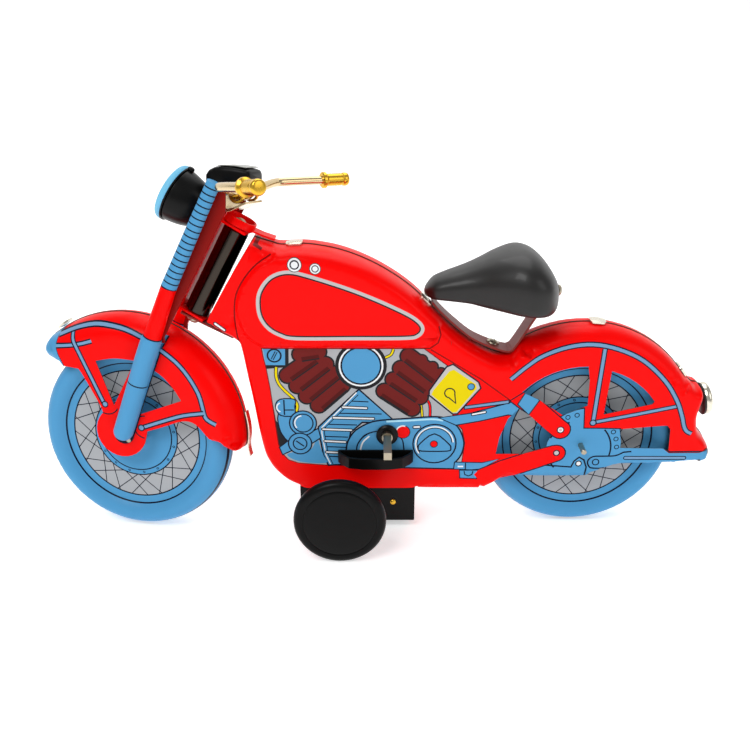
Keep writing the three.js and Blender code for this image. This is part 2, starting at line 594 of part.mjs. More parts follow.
function buildMotorFrame() {
  const outline = [[-25.4, 5], [12.4, 5], [12.4, 22], [20.6, 30], [20.6, 48], [12, 56.6], [-6, 56.6], [-25.4, 44]];
  const holes = [arc(WIND, 2.2, 0, 330, 11), arc(DRIVE, 1.5, 0, 330, 11), arc(MIDDLE, 1.2, 0, 330, 11)];
  for (const [side, name] of [[-1, "motor_plate_left"], [1, "motor_plate_right"]]) {
    const y = side < 0 ? -PLATE.half : PLATE.half - PLATE.thick;
    add(name, plate(pairs(outline), y, y + PLATE.thick, 0, holes), STEEL());
  }
  const inner = PLATE.half - PLATE.thick - GAP;
  const pillars = [["motor_pillar_front", { x: -22.6, z: 8 }], ["motor_pillar_rear", { x: 9.4, z: 8 }],
    ["motor_pillar_top", { x: -6, z: 53.6 }], ["spring_pillar", { x: 18.4, z: 33.2 }]];
  for (const [name, at] of pillars) {
    const end = name === "spring_pillar" ? -0.4 : inner;
    add(name, rod(1.5, -inner, end, at, 12), STEEL());
  }

  const { x0, x1, half, bottom, top } = COVER;
  const wall = SHEET;
  const box = cut(block(x0, x1, -half, half, bottom, top),
    block(x0 + wall, x1 - wall, -half + wall, half - wall, bottom + wall, top + 1),
    rod(1.7, -20, 20, DRIVE, 16));
  add("motor_cover", box, BLACK());
  for (const [side, name] of [[-1, "cover_rivet_left"], [1, "cover_rivet_right"]]) {
    const face = side * (half + GAP / 3);
    add(name, turned([[0, face], [1.1, face], [0.8, face + side * 0.5], [0, face + side * 0.7]],
      { x: 6.6, z: 11 }, 12), BRASS());
  }
  add("shaft_bush", turned([[2.1, -9], [3.2, -9], [3.2, -10.3], [3.8, -10.3], [3.4, -11.2], [2.1, -11.2], [2.1, -9]],
    WIND, 16), BLACK());
}

function buildMainspring() {
  const turns = 4;
  const steps = 60;
  const [inner, outer] = [3.4, 13.6];
  const edge = (shift) => Array.from({ length: steps + 1 }, (_, i) => {
    const angle = -0.7 + 2 * Math.PI * turns * (i / steps - 1);
    const radius = inner + (outer - inner) * i / steps + shift;
    return v2(WIND.x + radius * Math.cos(angle), WIND.z + radius * Math.sin(angle));
  });
  add("mainspring", plate([...edge(0), ...edge(0.4).reverse()], -6.6, -2), SPRING());
}

function buildTrain() {
  const [low, high] = [0.9, 2.1];
  const toMiddle = bearing(WIND, MIDDLE);
  add("great_gear", gear(TEETH.great, WIND, low, high, toMiddle, 2.3), BRASS());

  // The ratchet's sharp teeth let the arbor slip one way past the click on the great gear.
  const ratchetRadius = 5.4;
  const saw = Array.from({ length: TEETH.ratchet }, (_, i) => {
    const step = 2 * Math.PI / TEETH.ratchet;
    const start = i * step;
    return [[start, ratchetRadius], [start + 0.08 * step, 4.3], [start + 0.55 * step, 4.9]];
  }).flat().map(([angle, r]) => v2(WIND.x + r * Math.cos(angle), WIND.z + r * Math.sin(angle)));
  const square = 1.35;
  add("ratchet_wheel", plate(saw, -0.7, 0.5, 0, [arc(WIND, 2.3, 0, 330, 11)]), STEEL());
  add("winding_arbor", join(
    rod(1.95, -13, 8, WIND, 14),
    block(WIND.x - square, WIND.x + square, -26.6, -13, WIND.z - square, WIND.z + square)), STEEL());

  const clickPivot = { x: WIND.x + 8.2, z: WIND.z + 4.6 };
  const click = [[clickPivot.x + 1, clickPivot.z + 1], [clickPivot.x - 1.2, clickPivot.z + 1.4],
    [WIND.x + 3.4, WIND.z + 5.1], [WIND.x + 3.3, WIND.z + 4.4], [clickPivot.x + 0.6, clickPivot.z - 1.3]];
  add("click", plate(pairs(click), -0.5, 0.4), STEEL());

  const toWind = bearing(MIDDLE, WIND);
  const half = (teeth) => Math.PI / teeth;
  const middlePinion = gear(TEETH.middlePinion, MIDDLE, low - 0.6, high + 0.6,
    toWind + half(TEETH.middlePinion), 0);
  add("middle_pinion", join(middlePinion, rod(1.1, -8, 8, MIDDLE, 12)), STEEL());
  const toDrive = bearing(MIDDLE, DRIVE);
  add("middle_gear", gear(TEETH.middle, MIDDLE, 3.4, 4.6, toDrive, 1.4), BRASS());
  add("drive_pinion", gear(TEETH.drive, DRIVE, 3, 5, toDrive + Math.PI + half(TEETH.drive), 1.6), STEEL());
}

// ---- footrests -----------------------------------------------------------------------------
function buildFootrests() {
  const [x0, x1, deep, top] = [-13.2, 13.6, 7.4, 33.2];
  const tray = (inset) => new THREE.Shape([v2(x0 + inset, 0), v2(x0 + inset, -1.6 + inset / 2),
    v2(x0 + 4 + inset / 2, -deep + 1 + inset), v2(x0 + 9, -deep + inset), v2(x1 - 9, -deep + inset),
    v2(x1 - 4 - inset / 2, -deep + 1 + inset), v2(x1 - inset, -1.6 + inset / 2), v2(x1 - inset, 0)]);
  const slab = (inset, z0, z1) => {
    const geometry = new THREE.ExtrudeGeometry(tray(inset), { depth: z1 - z0, bevelEnabled: false });
    geometry.translate(0, -BODY_HALF - GAP, z0);
    return solid(geometry);
  };
  const left = cut(slab(0, top - 4.2, top), slab(0.8, top - 6, top - 0.8));
  add("footrest_left", left, BLACK());
  add("footrest_right", left.mirror([0, 1, 0]), BLACK());
}

buildBody();
buildSeat();
buildBodyTabs();
buildSteeringHead();
buildForkSide(-1, "fork_side_left");
buildForkSide(1, "fork_side_right");
buildYoke();
buildFenderTabs();
buildLamp();
buildCowl();
buildHandlebar();
buildRoadWheels();
buildDriveWheels();
buildMotorFrame();
buildMainspring();
buildTrain();
buildFootrests();

export default model;
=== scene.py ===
"""Looks of the tin wind-up motorcycle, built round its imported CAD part.

Lengths are millimetres until a mesh is made. The toy faces -X and its left side is -Y. The steered
pieces are built in the straight frame and turned about the steering axis when they are made.
"""

import math

import bpy
import numpy as np
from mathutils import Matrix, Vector
from mathutils.geometry import delaunay_2d_cdt
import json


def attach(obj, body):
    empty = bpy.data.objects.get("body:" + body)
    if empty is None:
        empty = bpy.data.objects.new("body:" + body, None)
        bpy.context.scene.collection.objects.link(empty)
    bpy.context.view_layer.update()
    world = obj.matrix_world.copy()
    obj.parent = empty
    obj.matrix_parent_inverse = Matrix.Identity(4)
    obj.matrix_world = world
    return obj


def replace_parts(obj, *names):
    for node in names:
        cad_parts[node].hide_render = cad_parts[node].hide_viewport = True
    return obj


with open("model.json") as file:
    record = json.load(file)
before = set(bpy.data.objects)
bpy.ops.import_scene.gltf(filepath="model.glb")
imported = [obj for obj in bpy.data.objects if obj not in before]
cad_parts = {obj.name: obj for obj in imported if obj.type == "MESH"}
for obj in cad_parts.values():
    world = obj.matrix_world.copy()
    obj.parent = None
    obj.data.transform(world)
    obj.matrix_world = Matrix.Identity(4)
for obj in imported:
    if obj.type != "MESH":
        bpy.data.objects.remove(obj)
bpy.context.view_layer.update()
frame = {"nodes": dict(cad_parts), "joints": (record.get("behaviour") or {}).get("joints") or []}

# ---- driving dimensions --------------------------------------------------------------
MM = 0.001
SHEET = 0.35            # tinplate thickness
BODY_HALF = 10.0        # half width of the body pressing
TANK_SWELL = 0.18       # share by which the tank stands out from the body's sides
FENDER_HALF = 9.5       # half width of the front fender
LINE = 0.58             # printed outlines
EDGE = 0.4              # depth below a crest at which a pressing's side turns into its top strip
SEAM = 0.25             # half the dark gap between two halves
SPREAD = 2.4            # distance between the loose points inside a pressing's sheet
TURN_ROWS = 7           # rows of faces in the strip that turns in from a side to its seam
SLOPE_STEP = 0.02       # distance on either side over which a pressing's slope is measured
WHEEL_SHEET = 0.3       # tinplate of the road wheels
FAR_SHIFT = 0.3         # how far the far half of a pressing stands back at the seam
DENT_DEPTH = 0.0004     # deepest dent of a rippled surface, in metres
SMUDGE_SCALE = 260      # fineness of the smudges that vary the shine

# ---- stage, in metres ----------------------------------------------------------------
FOCAL_LENGTH = 40.8     # millimetres, on a 36 mm sensor
SENSOR_WIDTH = 36
CAMERA_AT = (0, -0.27965, 0.17593)
CAMERA_TILT = math.radians(67.1)
LIGHTS_AIM = (0, 0, 0.06)
LIGHTS = [("key", (-0.35, -0.5, 0.8), 0.45, 3.9), ("fill", (0.7, -0.5, 0.5), 0.5, 1.2),
          ("top", (0.05, 0.35, 0.8), 0.6, 2.3)]    # name, place, size and power in watts
SKY_LIGHT = 0.36        # strength of the white surroundings
PAPER_GLOW = 0.5        # keeps the paper white where the toy shades it

joint_at = {j["name"]: np.array(j["pos_m"]) / MM for j in frame["joints"]}
joint_axis = {j["name"]: np.array(j["axis"]) for j in frame["joints"]}
REAR = joint_at["rear_wheel_spin"][[0, 2]]
DRIVE = joint_at["drive_spin"][[0, 2]]
WIND = joint_at["winding"][[0, 2]]
STEER_POINT = joint_at["steering"]
STEER_AXIS = joint_axis["steering"] / np.linalg.norm(joint_axis["steering"])
STEER_REST = math.radians(-12)
BAR_SKEW = math.radians(-5)
FORWARD = np.array([-STEER_AXIS[2], 0, STEER_AXIS[0]])


def turn_matrix(angle):
    """Rotation and offset that turn a point about the steering axis."""
    x, y, z = STEER_AXIS
    c, s = math.cos(angle), math.sin(angle)
    cross = np.array([[0, -z, y], [z, 0, -x], [-y, x, 0]])
    turn = c * np.eye(3) + s * cross + (1 - c) * np.outer(STEER_AXIS, STEER_AXIS)
    return turn, STEER_POINT - turn @ STEER_POINT


STILL = (np.eye(3), np.zeros(3))
FORK = turn_matrix(STEER_REST)
CROWN = turn_matrix(STEER_REST + BAR_SKEW)
FRONT = (FORK[0].T @ (joint_at["front_wheel_spin"] - FORK[1]))[[0, 2]]


# ---- materials -----------------------------------------------------------------------
def srgb(r, g, b):
    """Linear colour of a screen colour given in 0 to 255."""
    def channel(value):
        value /= 255
        return value / 12.92 if value <= 0.04045 else ((value + 0.055) / 1.055) ** 2.4
    return channel(r), channel(g), channel(b), 1


def material(name, colour, roughness, metallic=0.0, coat=0.0, ripple=0.0, ripple_size=90, wear=0.0,
        shine=0.5):
    """A painted, plated or moulded surface; ripple dents the reflections, wear varies the roughness."""
    made = bpy.data.materials.new(name)
    made.use_nodes = True
    tree = made.node_tree
    shader = tree.nodes["Principled BSDF"]
    shader.inputs["Base Color"].default_value = colour
    shader.inputs["Roughness"].default_value = roughness
    shader.inputs["Metallic"].default_value = metallic
    shader.inputs["Specular IOR Level"].default_value = shine
    shader.inputs["Coat Weight"].default_value = coat
    shader.inputs["Coat Roughness"].default_value = 0.06
    place = tree.nodes.new("ShaderNodeTexCoord")
    if ripple:
        noise = tree.nodes.new("ShaderNodeTexNoise")
        noise.inputs["Scale"].default_value = ripple_size
        noise.inputs["Detail"].default_value = 2
        bump = tree.nodes.new("ShaderNodeBump")
        bump.inputs["Strength"].default_value = ripple
        bump.inputs["Distance"].default_value = DENT_DEPTH
        tree.links.new(place.outputs["Object"], noise.inputs["Vector"])
        tree.links.new(noise.outputs["Fac"], bump.inputs["Height"])
        tree.links.new(bump.outputs["Normal"], shader.inputs["Normal"])
    if wear:
        smudge = tree.nodes.new("ShaderNodeTexNoise")
        smudge.inputs["Scale"].default_value = SMUDGE_SCALE
        smudge.inputs["Detail"].default_value = 5
        spread = tree.nodes.new("ShaderNodeMapRange")
        spread.inputs["To Min"].default_value = roughness
        spread.inputs["To Max"].default_value = roughness + wear
        tree.links.new(place.outputs["Object"], smudge.inputs["Vector"])
        tree.links.new(smudge.outputs["Fac"], spread.inputs["Value"])
        tree.links.new(spread.outputs["Result"], shader.inputs["Roughness"])
    return made


def printed(name, r, g, b):
    """A colour of the printed tinplate."""
    return material(name, srgb(r, g, b), 0.26, coat=0.02, ripple=0.12, wear=0.1, shine=0.08)


PAINT = {
    "red": printed("tin_red", 252, 2, 1),
    "blue": printed("tin_blue", 83, 156, 205),
    # darker red for the fork flanges: painted shade, standing for the body's red tin in shadow behind the
    # legs
    "flange": printed("tin_red_painted_shade", 140, 20, 16),
    "stripe": printed("tin_stripe_blue", 118, 158, 196),
    "grey": printed("tin_grey", 173, 176, 180),
    "silver": printed("tin_silver", 196, 192, 192),
    "white": printed("tin_white", 238, 240, 242),
    "yellow": printed("tin_yellow", 234, 212, 0),
    "maroon": printed("tin_maroon", 112, 30, 28),
    "dark_maroon": printed("tin_dark_maroon", 84, 20, 19),
    "line": printed("tin_line", 18, 22, 40),
    "dark_red": printed("tin_dark_red", 120, 8, 8),
    "shade": printed("tin_shade", 34, 34, 38),
    "light_blue": printed("tin_light_blue", 178, 226, 244),
    "light_rim": printed("tin_lamp_blue", 120, 196, 232),
    "inside": material("tin_inside", srgb(120, 110, 98), 0.42, metallic=0.75, ripple=0.1),
}
RED = PAINT["red"]
BARE_TIN = material("bare_tin", srgb(226, 220, 204), 0.24, metallic=1, ripple=0.35, ripple_size=160)
WARM_CHROME = material("warm_chrome", srgb(218, 194, 150), 0.16, metallic=1, ripple=0.12)
# chrome with a darkened base colour: painted dark reflection of the surroundings, used on the steering tube
CHROME_PAINTED_DARK_REFLECTION = material("chrome_painted_dark_reflection", srgb(62, 56, 51), 0.12, metallic=1, ripple=0.1)
STEEL = material("steel", srgb(178, 168, 148), 0.3, metallic=1, wear=0.15)
BRASS = material("brass", srgb(232, 184, 62), 0.22, metallic=1, ripple=0.1, wear=0.1)
SPRING = material("blued_steel", srgb(70, 74, 84), 0.3, metallic=1)
MAROON = material("maroon_enamel", srgb(142, 44, 38), 0.4, ripple=0.15, shine=0.2)
BLACK_TIN = material("black_enamel", srgb(12, 12, 12), 0.28, ripple=0.1, wear=0.08, shine=0.15)
BLACK_PLASTIC = material("black_plastic", srgb(10, 10, 10), 0.28, ripple=0.06, wear=0.12, shine=0.12)
SADDLE_PLASTIC = material("saddle_plastic", srgb(14, 12, 11), 0.4, coat=0.1, ripple=0.06, wear=0.12,
                          shine=0.45)
BLACK_RUBBER = material("black_rubber", srgb(24, 24, 24), 0.5)
GREY_GLOSS = material("grey_gloss", srgb(150, 152, 144), 0.3, ripple=0.05)
LENS = material("lens_white", srgb(236, 240, 244), 0.18, coat=0.5)


# ---- flat drawing, all in (x, z) -----------------------------------------------------
def circle(centre, radius, count=28, start=0, end=360):
    """Points round a circle, or along an arc of it in degrees."""
    closed = end - start == 360
    steps = count if closed else count + 1
    angles = [math.radians(start + (end - start) * i / count) for i in range(steps)]
    return [(centre[0] + radius * math.cos(a), centre[1] + radius * math.sin(a)) for a in angles]


def curve(points, steps=5, closed=False):
    """A smooth line through the points."""
    given = np.array(points, float)
    count = len(given)
    made = []
    for i in range(count if closed else count - 1):
        if closed:
            a, b, c, d = (given[(i + k) % count] for k in (-1, 0, 1, 2))
        else:
            a, b, c, d = (given[min(max(i + k, 0), count - 1)] for k in (-1, 0, 1, 2))
        for t in np.arange(steps) / steps:
            made.append(tuple(0.5 * (2 * b + (c - a) * t + (2 * a - 5 * b + 4 * c - d) * t ** 2
                                     + (3 * b - a - 3 * c + d) * t ** 3)))
    if not closed:
        made.append(tuple(given[-1]))
    return made


def turned_sides(points, closed):
    """Unit vectors to the left of a line at each of its points, lengthened at corners."""
    given = np.array(points, float)
    after = np.roll(given, -1, 0) - given
    before = given - np.roll(given, 1, 0)
    if not closed:
        after[-1] = before[-1]
        before[0] = after[0]
    after /= np.maximum(np.linalg.norm(after, axis=1), 1e-9)[:, None]
    before /= np.maximum(np.linalg.norm(before, axis=1), 1e-9)[:, None]
    middle = after + before
    middle /= np.maximum(np.linalg.norm(middle, axis=1), 1e-9)[:, None]
    left = np.stack([-middle[:, 1], middle[:, 0]], 1)
    lean = np.sum(left * np.stack([-after[:, 1], after[:, 0]], 1), 1)
    return left / np.maximum(lean, 0.5)[:, None]


def signed_area(points):
    x, z = np.array(points, float).T
    return 0.5 * np.sum(x * np.roll(z, -1) - z * np.roll(x, -1))


def grow(points, distance):
    """A closed outline moved outwards."""
    outward = -turned_sides(points, True) * np.sign(signed_area(points))
    return [tuple(p) for p in np.array(points, float) + outward * distance]


def stroke(points, width=LINE, paint="line"):
    """A printed line, as one piece of art."""
    side = turned_sides(points, False) * width / 2
    given = np.array(points, float)
    return [([tuple(p) for p in [*(given + side), *(given - side)[::-1]]], paint)]


def outlined(points, paint, width=LINE, line="line"):
    """A filled shape with a printed outline just outside it."""
    return [(grow(points, width), line), (points, paint)]


def band(points, width, paint, line=0.5):
    """A coloured line with a dark edge on both sides."""
    return stroke(points, width + 2 * line) + stroke(points, width, paint)


def slit(a, b, width, paint="white"):
    """A short straight stroke with a dark outline and round ends."""
    a, b = np.array(a, float), np.array(b, float)
    angle = math.degrees(math.atan2(b[1] - a[1], b[0] - a[0]))
    ends = circle(b, width / 2, 5, angle - 90, angle + 90)
    ends += circle(a, width / 2, 5, angle + 90, angle + 270)
    return outlined(ends, paint, 0.35)


def screw(centre, radius, slot):
    """A printed screw head with its slot at an angle in degrees."""
    reach = radius * 0.8
    c, s = math.cos(math.radians(slot)) * reach, math.sin(math.radians(slot)) * reach
    ends = [(centre[0] - c, centre[1] - s), (centre[0] + c, centre[1] + s)]
    return outlined(circle(centre, radius), "blue") + stroke(ends, 1.05) + stroke(ends, 0.35, "blue")


def inside(polygon, points):
    """Which points lie in a closed outline."""
    x, z = points.T
    hit = np.zeros(len(points), bool)
    loop = np.array(polygon, float)
    near = ((x >= loop[:, 0].min()) & (x <= loop[:, 0].max()) & (z >= loop[:, 1].min())
            & (z <= loop[:, 1].max()))
    x, z = x[near], z[near]
    found = np.zeros(len(x), bool)
    for (ax, az), (bx, bz) in zip(loop, np.roll(loop, -1, 0)):
        if az == bz:
            continue
        crosses = ((az > z) != (bz > z)) & (x < (bx - ax) * (z - az) / (bz - az) + ax)
        found ^= crosses
    hit[near] = found
    return hit


def to_line(points, line, closed=True, used=None):
    """Distance from each point to a line, and where along the line the nearest spot is.

    used picks the stretches of the line that count, by number.
    """
    a = np.array(line, float)
    b = np.roll(a, -1, 0) if closed else a[1:]
    best = np.full(len(points), np.inf)
    place = np.zeros(len(points))
    for i in range(len(b)) if used is None else used:
        start, along = a[i], b[i] - a[i]
        t = np.clip((points - start) @ along / max(along @ along, 1e-9), 0, 1)
        away = np.linalg.norm(points - start - t[:, None] * along, axis=1)
        closer = away < best
        best[closer] = away[closer]
        place[closer] = i + t[closer]
    return best, place


def paints_at(points, art, base):
    """The paint on each point: the last piece of art that covers it."""
    names = np.full(len(points), base, dtype=object)
    for polygon, paint in art:
        names[inside(polygon, points)] = paint
    return names


def cut_sheet(outline, holes, art, base, spacing, guides=()):
    """A flat sheet cut along every printed edge: points, triangles and the paint of each triangle."""
    points, edges = [], []
    for loop in [outline, *holes, *[polygon for polygon, _ in art]]:
        first = len(points)
        points += loop
        edges += [(first + i, first + (i + 1) % len(loop)) for i in range(len(loop))]
    shape = np.array(outline, float)
    low, high = shape.min(0), shape.max(0)
    columns = np.arange(low[0] + spacing / 2, high[0], spacing)
    rows = np.arange(low[1] + spacing / 2, high[1], spacing)
    grid = np.array([(x, z) for x in columns for z in rows])
    loose = np.array([*grid, *guides])
    points += [tuple(p) for p in loose[inside(outline, loose)]]
    made, _, faces, *_ = delaunay_2d_cdt([Vector(p) for p in points], edges, [], 0, 1e-4)
    flat = np.array([tuple(p) for p in made])
    triangles = np.array([f for f in faces if len(f) == 3])
    middles = flat[triangles].mean(1)
    kept = inside(outline, middles)
    for hole in holes:
        kept &= ~inside(hole, middles)
    return flat, triangles[kept], paints_at(middles[kept], art, base)


# ---- meshes --------------------------------------------------------------------------
class Tin:
    """A painted sheet of tin: faces with a paint each, given thickness when it becomes an object."""

    def __init__(self):
        self.known = {}
        self.points, self.normals, self.faces, self.paints = [], [], [], []

    def add(self, points, normals, faces, paints):
        index = []
        for point, normal in zip(points, normals):
            key = tuple(np.round(point, 3))
            if key not in self.known:
                self.known[key] = len(self.points)
                self.points.append(point)
                self.normals.append(normal)
            index.append(self.known[key])
        for face, paint in zip(faces, paints):
            corners = [index[i] for i in face]
            if len(set(corners)) == len(corners):
                self.faces.append(corners)
                self.paints.append(paint)

    def build(self, name, body, slot, place=STILL, mirror=False, thick=SHEET):
        points, normals = np.array(self.points), np.array(self.normals)
        normals = normals / np.maximum(np.linalg.norm(normals, axis=1), 1e-9)[:, None]
        count = len(points)
        faces = [list(f) for f in self.faces]
        paints = list(self.paints)
        edges = {}
        for face in faces:
            for a, b in zip(face, face[1:] + face[:1]):
                edges[(a, b)] = edges.get((a, b), 0) + 1
        walls = [(a, b) for a, b in edges if (b, a) not in edges]
        outer = len(faces)
        faces += [[i + count for i in f[::-1]] for f in self.faces]
        paints += ["inside"] * outer
        faces += [[b, a, a + count, b + count] for a, b in walls]
        paints += ["inside"] * len(walls)
        points = np.concatenate([points, points - normals * thick])
        normals = np.concatenate([normals, -normals])
        if mirror:
            points, normals = points * (1, -1, 1), normals * (1, -1, 1)
            faces = [f[::-1] for f in faces]
        ob = mesh_object(name, points, faces, [PAINT[p] for p in paints], body, place)
        mesh = ob.data
        turned = normals @ place[0].T
        corners = []
        for polygon in mesh.polygons:
            if polygon.index < 2 * outer:
                corners += [tuple(turned[v]) for v in polygon.vertices]
            else:
                corners += [tuple(polygon.normal)] * len(polygon.vertices)
        mesh.normals_split_custom_set(corners)
        return ob


def mesh_object(name, points, faces, materials, body, place=STILL):
    """An object from points in millimetres; materials is one material or one per face."""
    placed = (np.array(points, float) @ place[0].T + place[1]) * MM
    mesh = bpy.data.meshes.new(name)
    mesh.from_pydata([tuple(p) for p in placed], [], [list(map(int, f)) for f in faces])
    each = materials if isinstance(materials, list) else [materials] * len(faces)
    used = list(dict.fromkeys(each))
    for one in used:
        mesh.materials.append(one)
    mesh.polygons.foreach_set("material_index", [used.index(m) for m in each])
    mesh.polygons.foreach_set("use_smooth", [True] * len(faces))
    mesh.update()
    ob = bpy.data.objects.new(name, mesh)
    bpy.context.scene.collection.objects.link(ob)
    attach(ob, body)
    return ob


def crisp(ob, angle=35, width=0.0, segments=2):
    """Keeps edges sharper than an angle; a width in millimetres rounds them instead."""
    ob.data.set_sharp_from_angle(angle=math.radians(angle))
    if width:
        bevel = ob.modifiers.new("edges", "BEVEL")
        bevel.width = width * MM
        bevel.segments = segments
        bevel.limit_method = "ANGLE"
        bevel.angle_limit = math.radians(angle)
        bevel.harden_normals = True
    return ob


def frame_along(direction):
    """Two unit vectors square to a direction."""
    along = np.array(direction, float) / np.linalg.norm(direction)
    other = np.array([0, 1, 0]) if abs(along[1]) < 0.9 else np.array([1, 0, 0])
    u = np.cross(other, along)
    u /= np.linalg.norm(u)
    return u, np.cross(along, u)


def lathe(name, profile, origin, direction, paints, body, place=STILL, count=56, angle=35):
    """A turned piece: profile is (radius, distance along); paints is one material or one per band."""
    u, v = frame_along(direction)
    along = np.array(direction, float) / np.linalg.norm(direction)
    origin = np.array(origin, float)
    angles = 2 * np.pi * np.arange(count) / count
    points, rings = [], []
    for radius, at in profile:
        if radius < 1e-6:
            rings.append([len(points)] * count)
            points.append(origin + along * at)
        else:
            rings.append(list(range(len(points), len(points) + count)))
            points += [origin + along * at + radius * (math.cos(a) * u + math.sin(a) * v) for a in angles]
    faces, materials = [], []
    for i, (a, b) in enumerate(zip(rings, rings[1:])):
        for j in range(count):
            k = (j + 1) % count
            face = list(dict.fromkeys([a[j], a[k], b[k], b[j]]))
            if len(face) > 2:
                faces.append(face)
                materials.append(paints[i] if isinstance(paints, list) else paints)
    ob = mesh_object(name, points, faces, materials, body, place)
    return crisp(ob, angle)


def skin(rings, count):
    """Faces round a stack of rings of points, closed by a flat face at each end."""
    faces = []
    for i in range(rings - 1):
        for j in range(count):
            k = (j + 1) % count
            faces.append([i * count + j, i * count + k, (i + 1) * count + k, (i + 1) * count + j])
    faces.append(list(range(count))[::-1])
    faces.append([(rings - 1) * count + j for j in range(count)])
    return faces


def sweep(name, line, radius, paint, body, place=STILL, count=20):
    """A round bar along a line of 3-D points; the radius and the paint may differ along it."""
    line = np.array(line, float)
    radii = np.broadcast_to(radius, len(line))
    tangents = np.gradient(line, axis=0)
    tangents /= np.linalg.norm(tangents, axis=1)[:, None]
    u, _ = frame_along(tangents[0])
    points = []
    for at, along, r in zip(line, tangents, radii):
        u = u - along * (u @ along)
        u /= np.linalg.norm(u)
        v = np.cross(along, u)
        points += [at + r * (math.cos(a) * u + math.sin(a) * v)
                   for a in 2 * np.pi * np.arange(count) / count]
    if isinstance(paint, list):
        paint = [*np.repeat(np.array(paint, dtype=object), count), paint[0], paint[-1]]
    return crisp(mesh_object(name, points, skin(len(line), count), paint, body, place), 50)


def slab(name, outline, y0, y1, paint, body, place=STILL, width=0.15, segments=2):
    """A flat plate: an (x, z) outline from y0 to y1."""
    if signed_area(outline) < 0:
        outline = outline[::-1]
    count = len(outline)
    points = [(x, y, z) for y in (y0, y1) for x, z in outline]
    faces = [list(range(count)), [count + i for i in range(count)][::-1]]
    faces += [[i, i + count, (i + 1) % count + count, (i + 1) % count] for i in range(count)]
    return crisp(mesh_object(name, points, faces, paint, body, place), 30, width, segments)


def ribbon(name, line, half, thick, paint, body, place=STILL, width=0.12):
    """A bent strip: a line of (x, z) points, thickened to its left, from -half to half in y."""
    side = turned_sides(line, False) * thick
    outline = [tuple(p) for p in [*np.array(line, float), *(np.array(line, float) + side)[::-1]]]
    return slab(name, outline, -half, half, paint, body, place, width)


# ---- body shells ---------------------------------------------------------------------
# Each stretch of the outline: its points, the width and sharpness of its rolled edge, how near to the
# middle plane it reaches, and whether it is rolled at all.
TANK_CREST = curve([(-40.6, 108.2), (-38.6, 107.5), (-35, 106.4), (-31.4, 105.4), (-26, 105.7),
        (-20, 105.3), (-12, 103.7), (-4, 100.8), (4, 96.6), (12, 91), (20, 83.4), (28, 75.6), (36, 70),
        (42.5, 67), (47.4, 67.4)])
FENDER_CREST = circle(REAR, 43.2, 22, 127, 34)[1:]
TAIL_CREST = curve([(110.9, 57.6), (113, 55.6), (115.2, 55), (116.2, 52.4), (115.6, 48.5), (115, 45),
        (115.4, 41.5), (116.5, 38.4), (119.3, 35), (121.1, 31.4), (120.4, 27.8), (117.6, 26.5)])
BELLY = [(108, 26.3), (99, 26.2), (88.4, 26.1), (82.6, 24.3), (77, 21.3), (70, 21.1), (60, 21.1),
        (52, 21.3)]
BELLY_RISE = [(46.8, 20.6), (43.4, 18), (40.2, 16.2), (38, 15.7)]
BELLY_BACK = [(31, 15.8), (22, 15.8), (15.4, 16)]
COVER_SLOT = [(15, 16.4), (-27.2, 16.6)]
DOWN_TUBE = curve([(-28, 17), (-32.4, 19.4), (-36.6, 23.6), (-39, 27.6), (-40.4, 31.4), (-41.6, 38),
                   (-42.7, 46), (-43.8, 54), (-44.9, 61), (-45.9, 68), (-46.8, 73)])
NECK = [(-57.8, 80.2), (-49.6, 94.4), (-40.8, 108.3)]
STRETCHES = [
    (TANK_CREST, 4.5, 3, 0, True), (FENDER_CREST, 7.5, 2.5, 0, True), (TAIL_CREST, 3.4, 2.4, 0, True),
    (BELLY, 2, 2.6, 7.4, True), (BELLY_RISE, 2.6, 2.4, 0, True), (BELLY_BACK, 2.4, 2.4, 0, True),
    (COVER_SLOT, 2.4, 2.4, 0, False), (DOWN_TUBE, 2.6, 2.4, 0, True), (NECK, 2.4, 2.4, 0, False),
]
# front edge of the tank's pressing, along which a line of painted shade is drawn
EMBOSS_FRONT = curve([(-45.9, 72.6), (-46.7, 78), (-47, 84.4), (-46, 91), (-42.8, 96.8), (-38.6, 101.4),
                      (-34, 104.4)], 3)
EMBOSS = curve([(-40.6, 73.2), (-44.8, 77.6), (-46.9, 84.6), (-46, 91.1), (-42.8, 96.9), (-38.6, 101.3),
        (-34, 104), (-30, 112), (-10, 112), (10, 102), (24, 88), (23, 79.6), (20.6, 74), (16, 71.9),
        (-12, 71.7), (-34, 71.7)], 3, True)


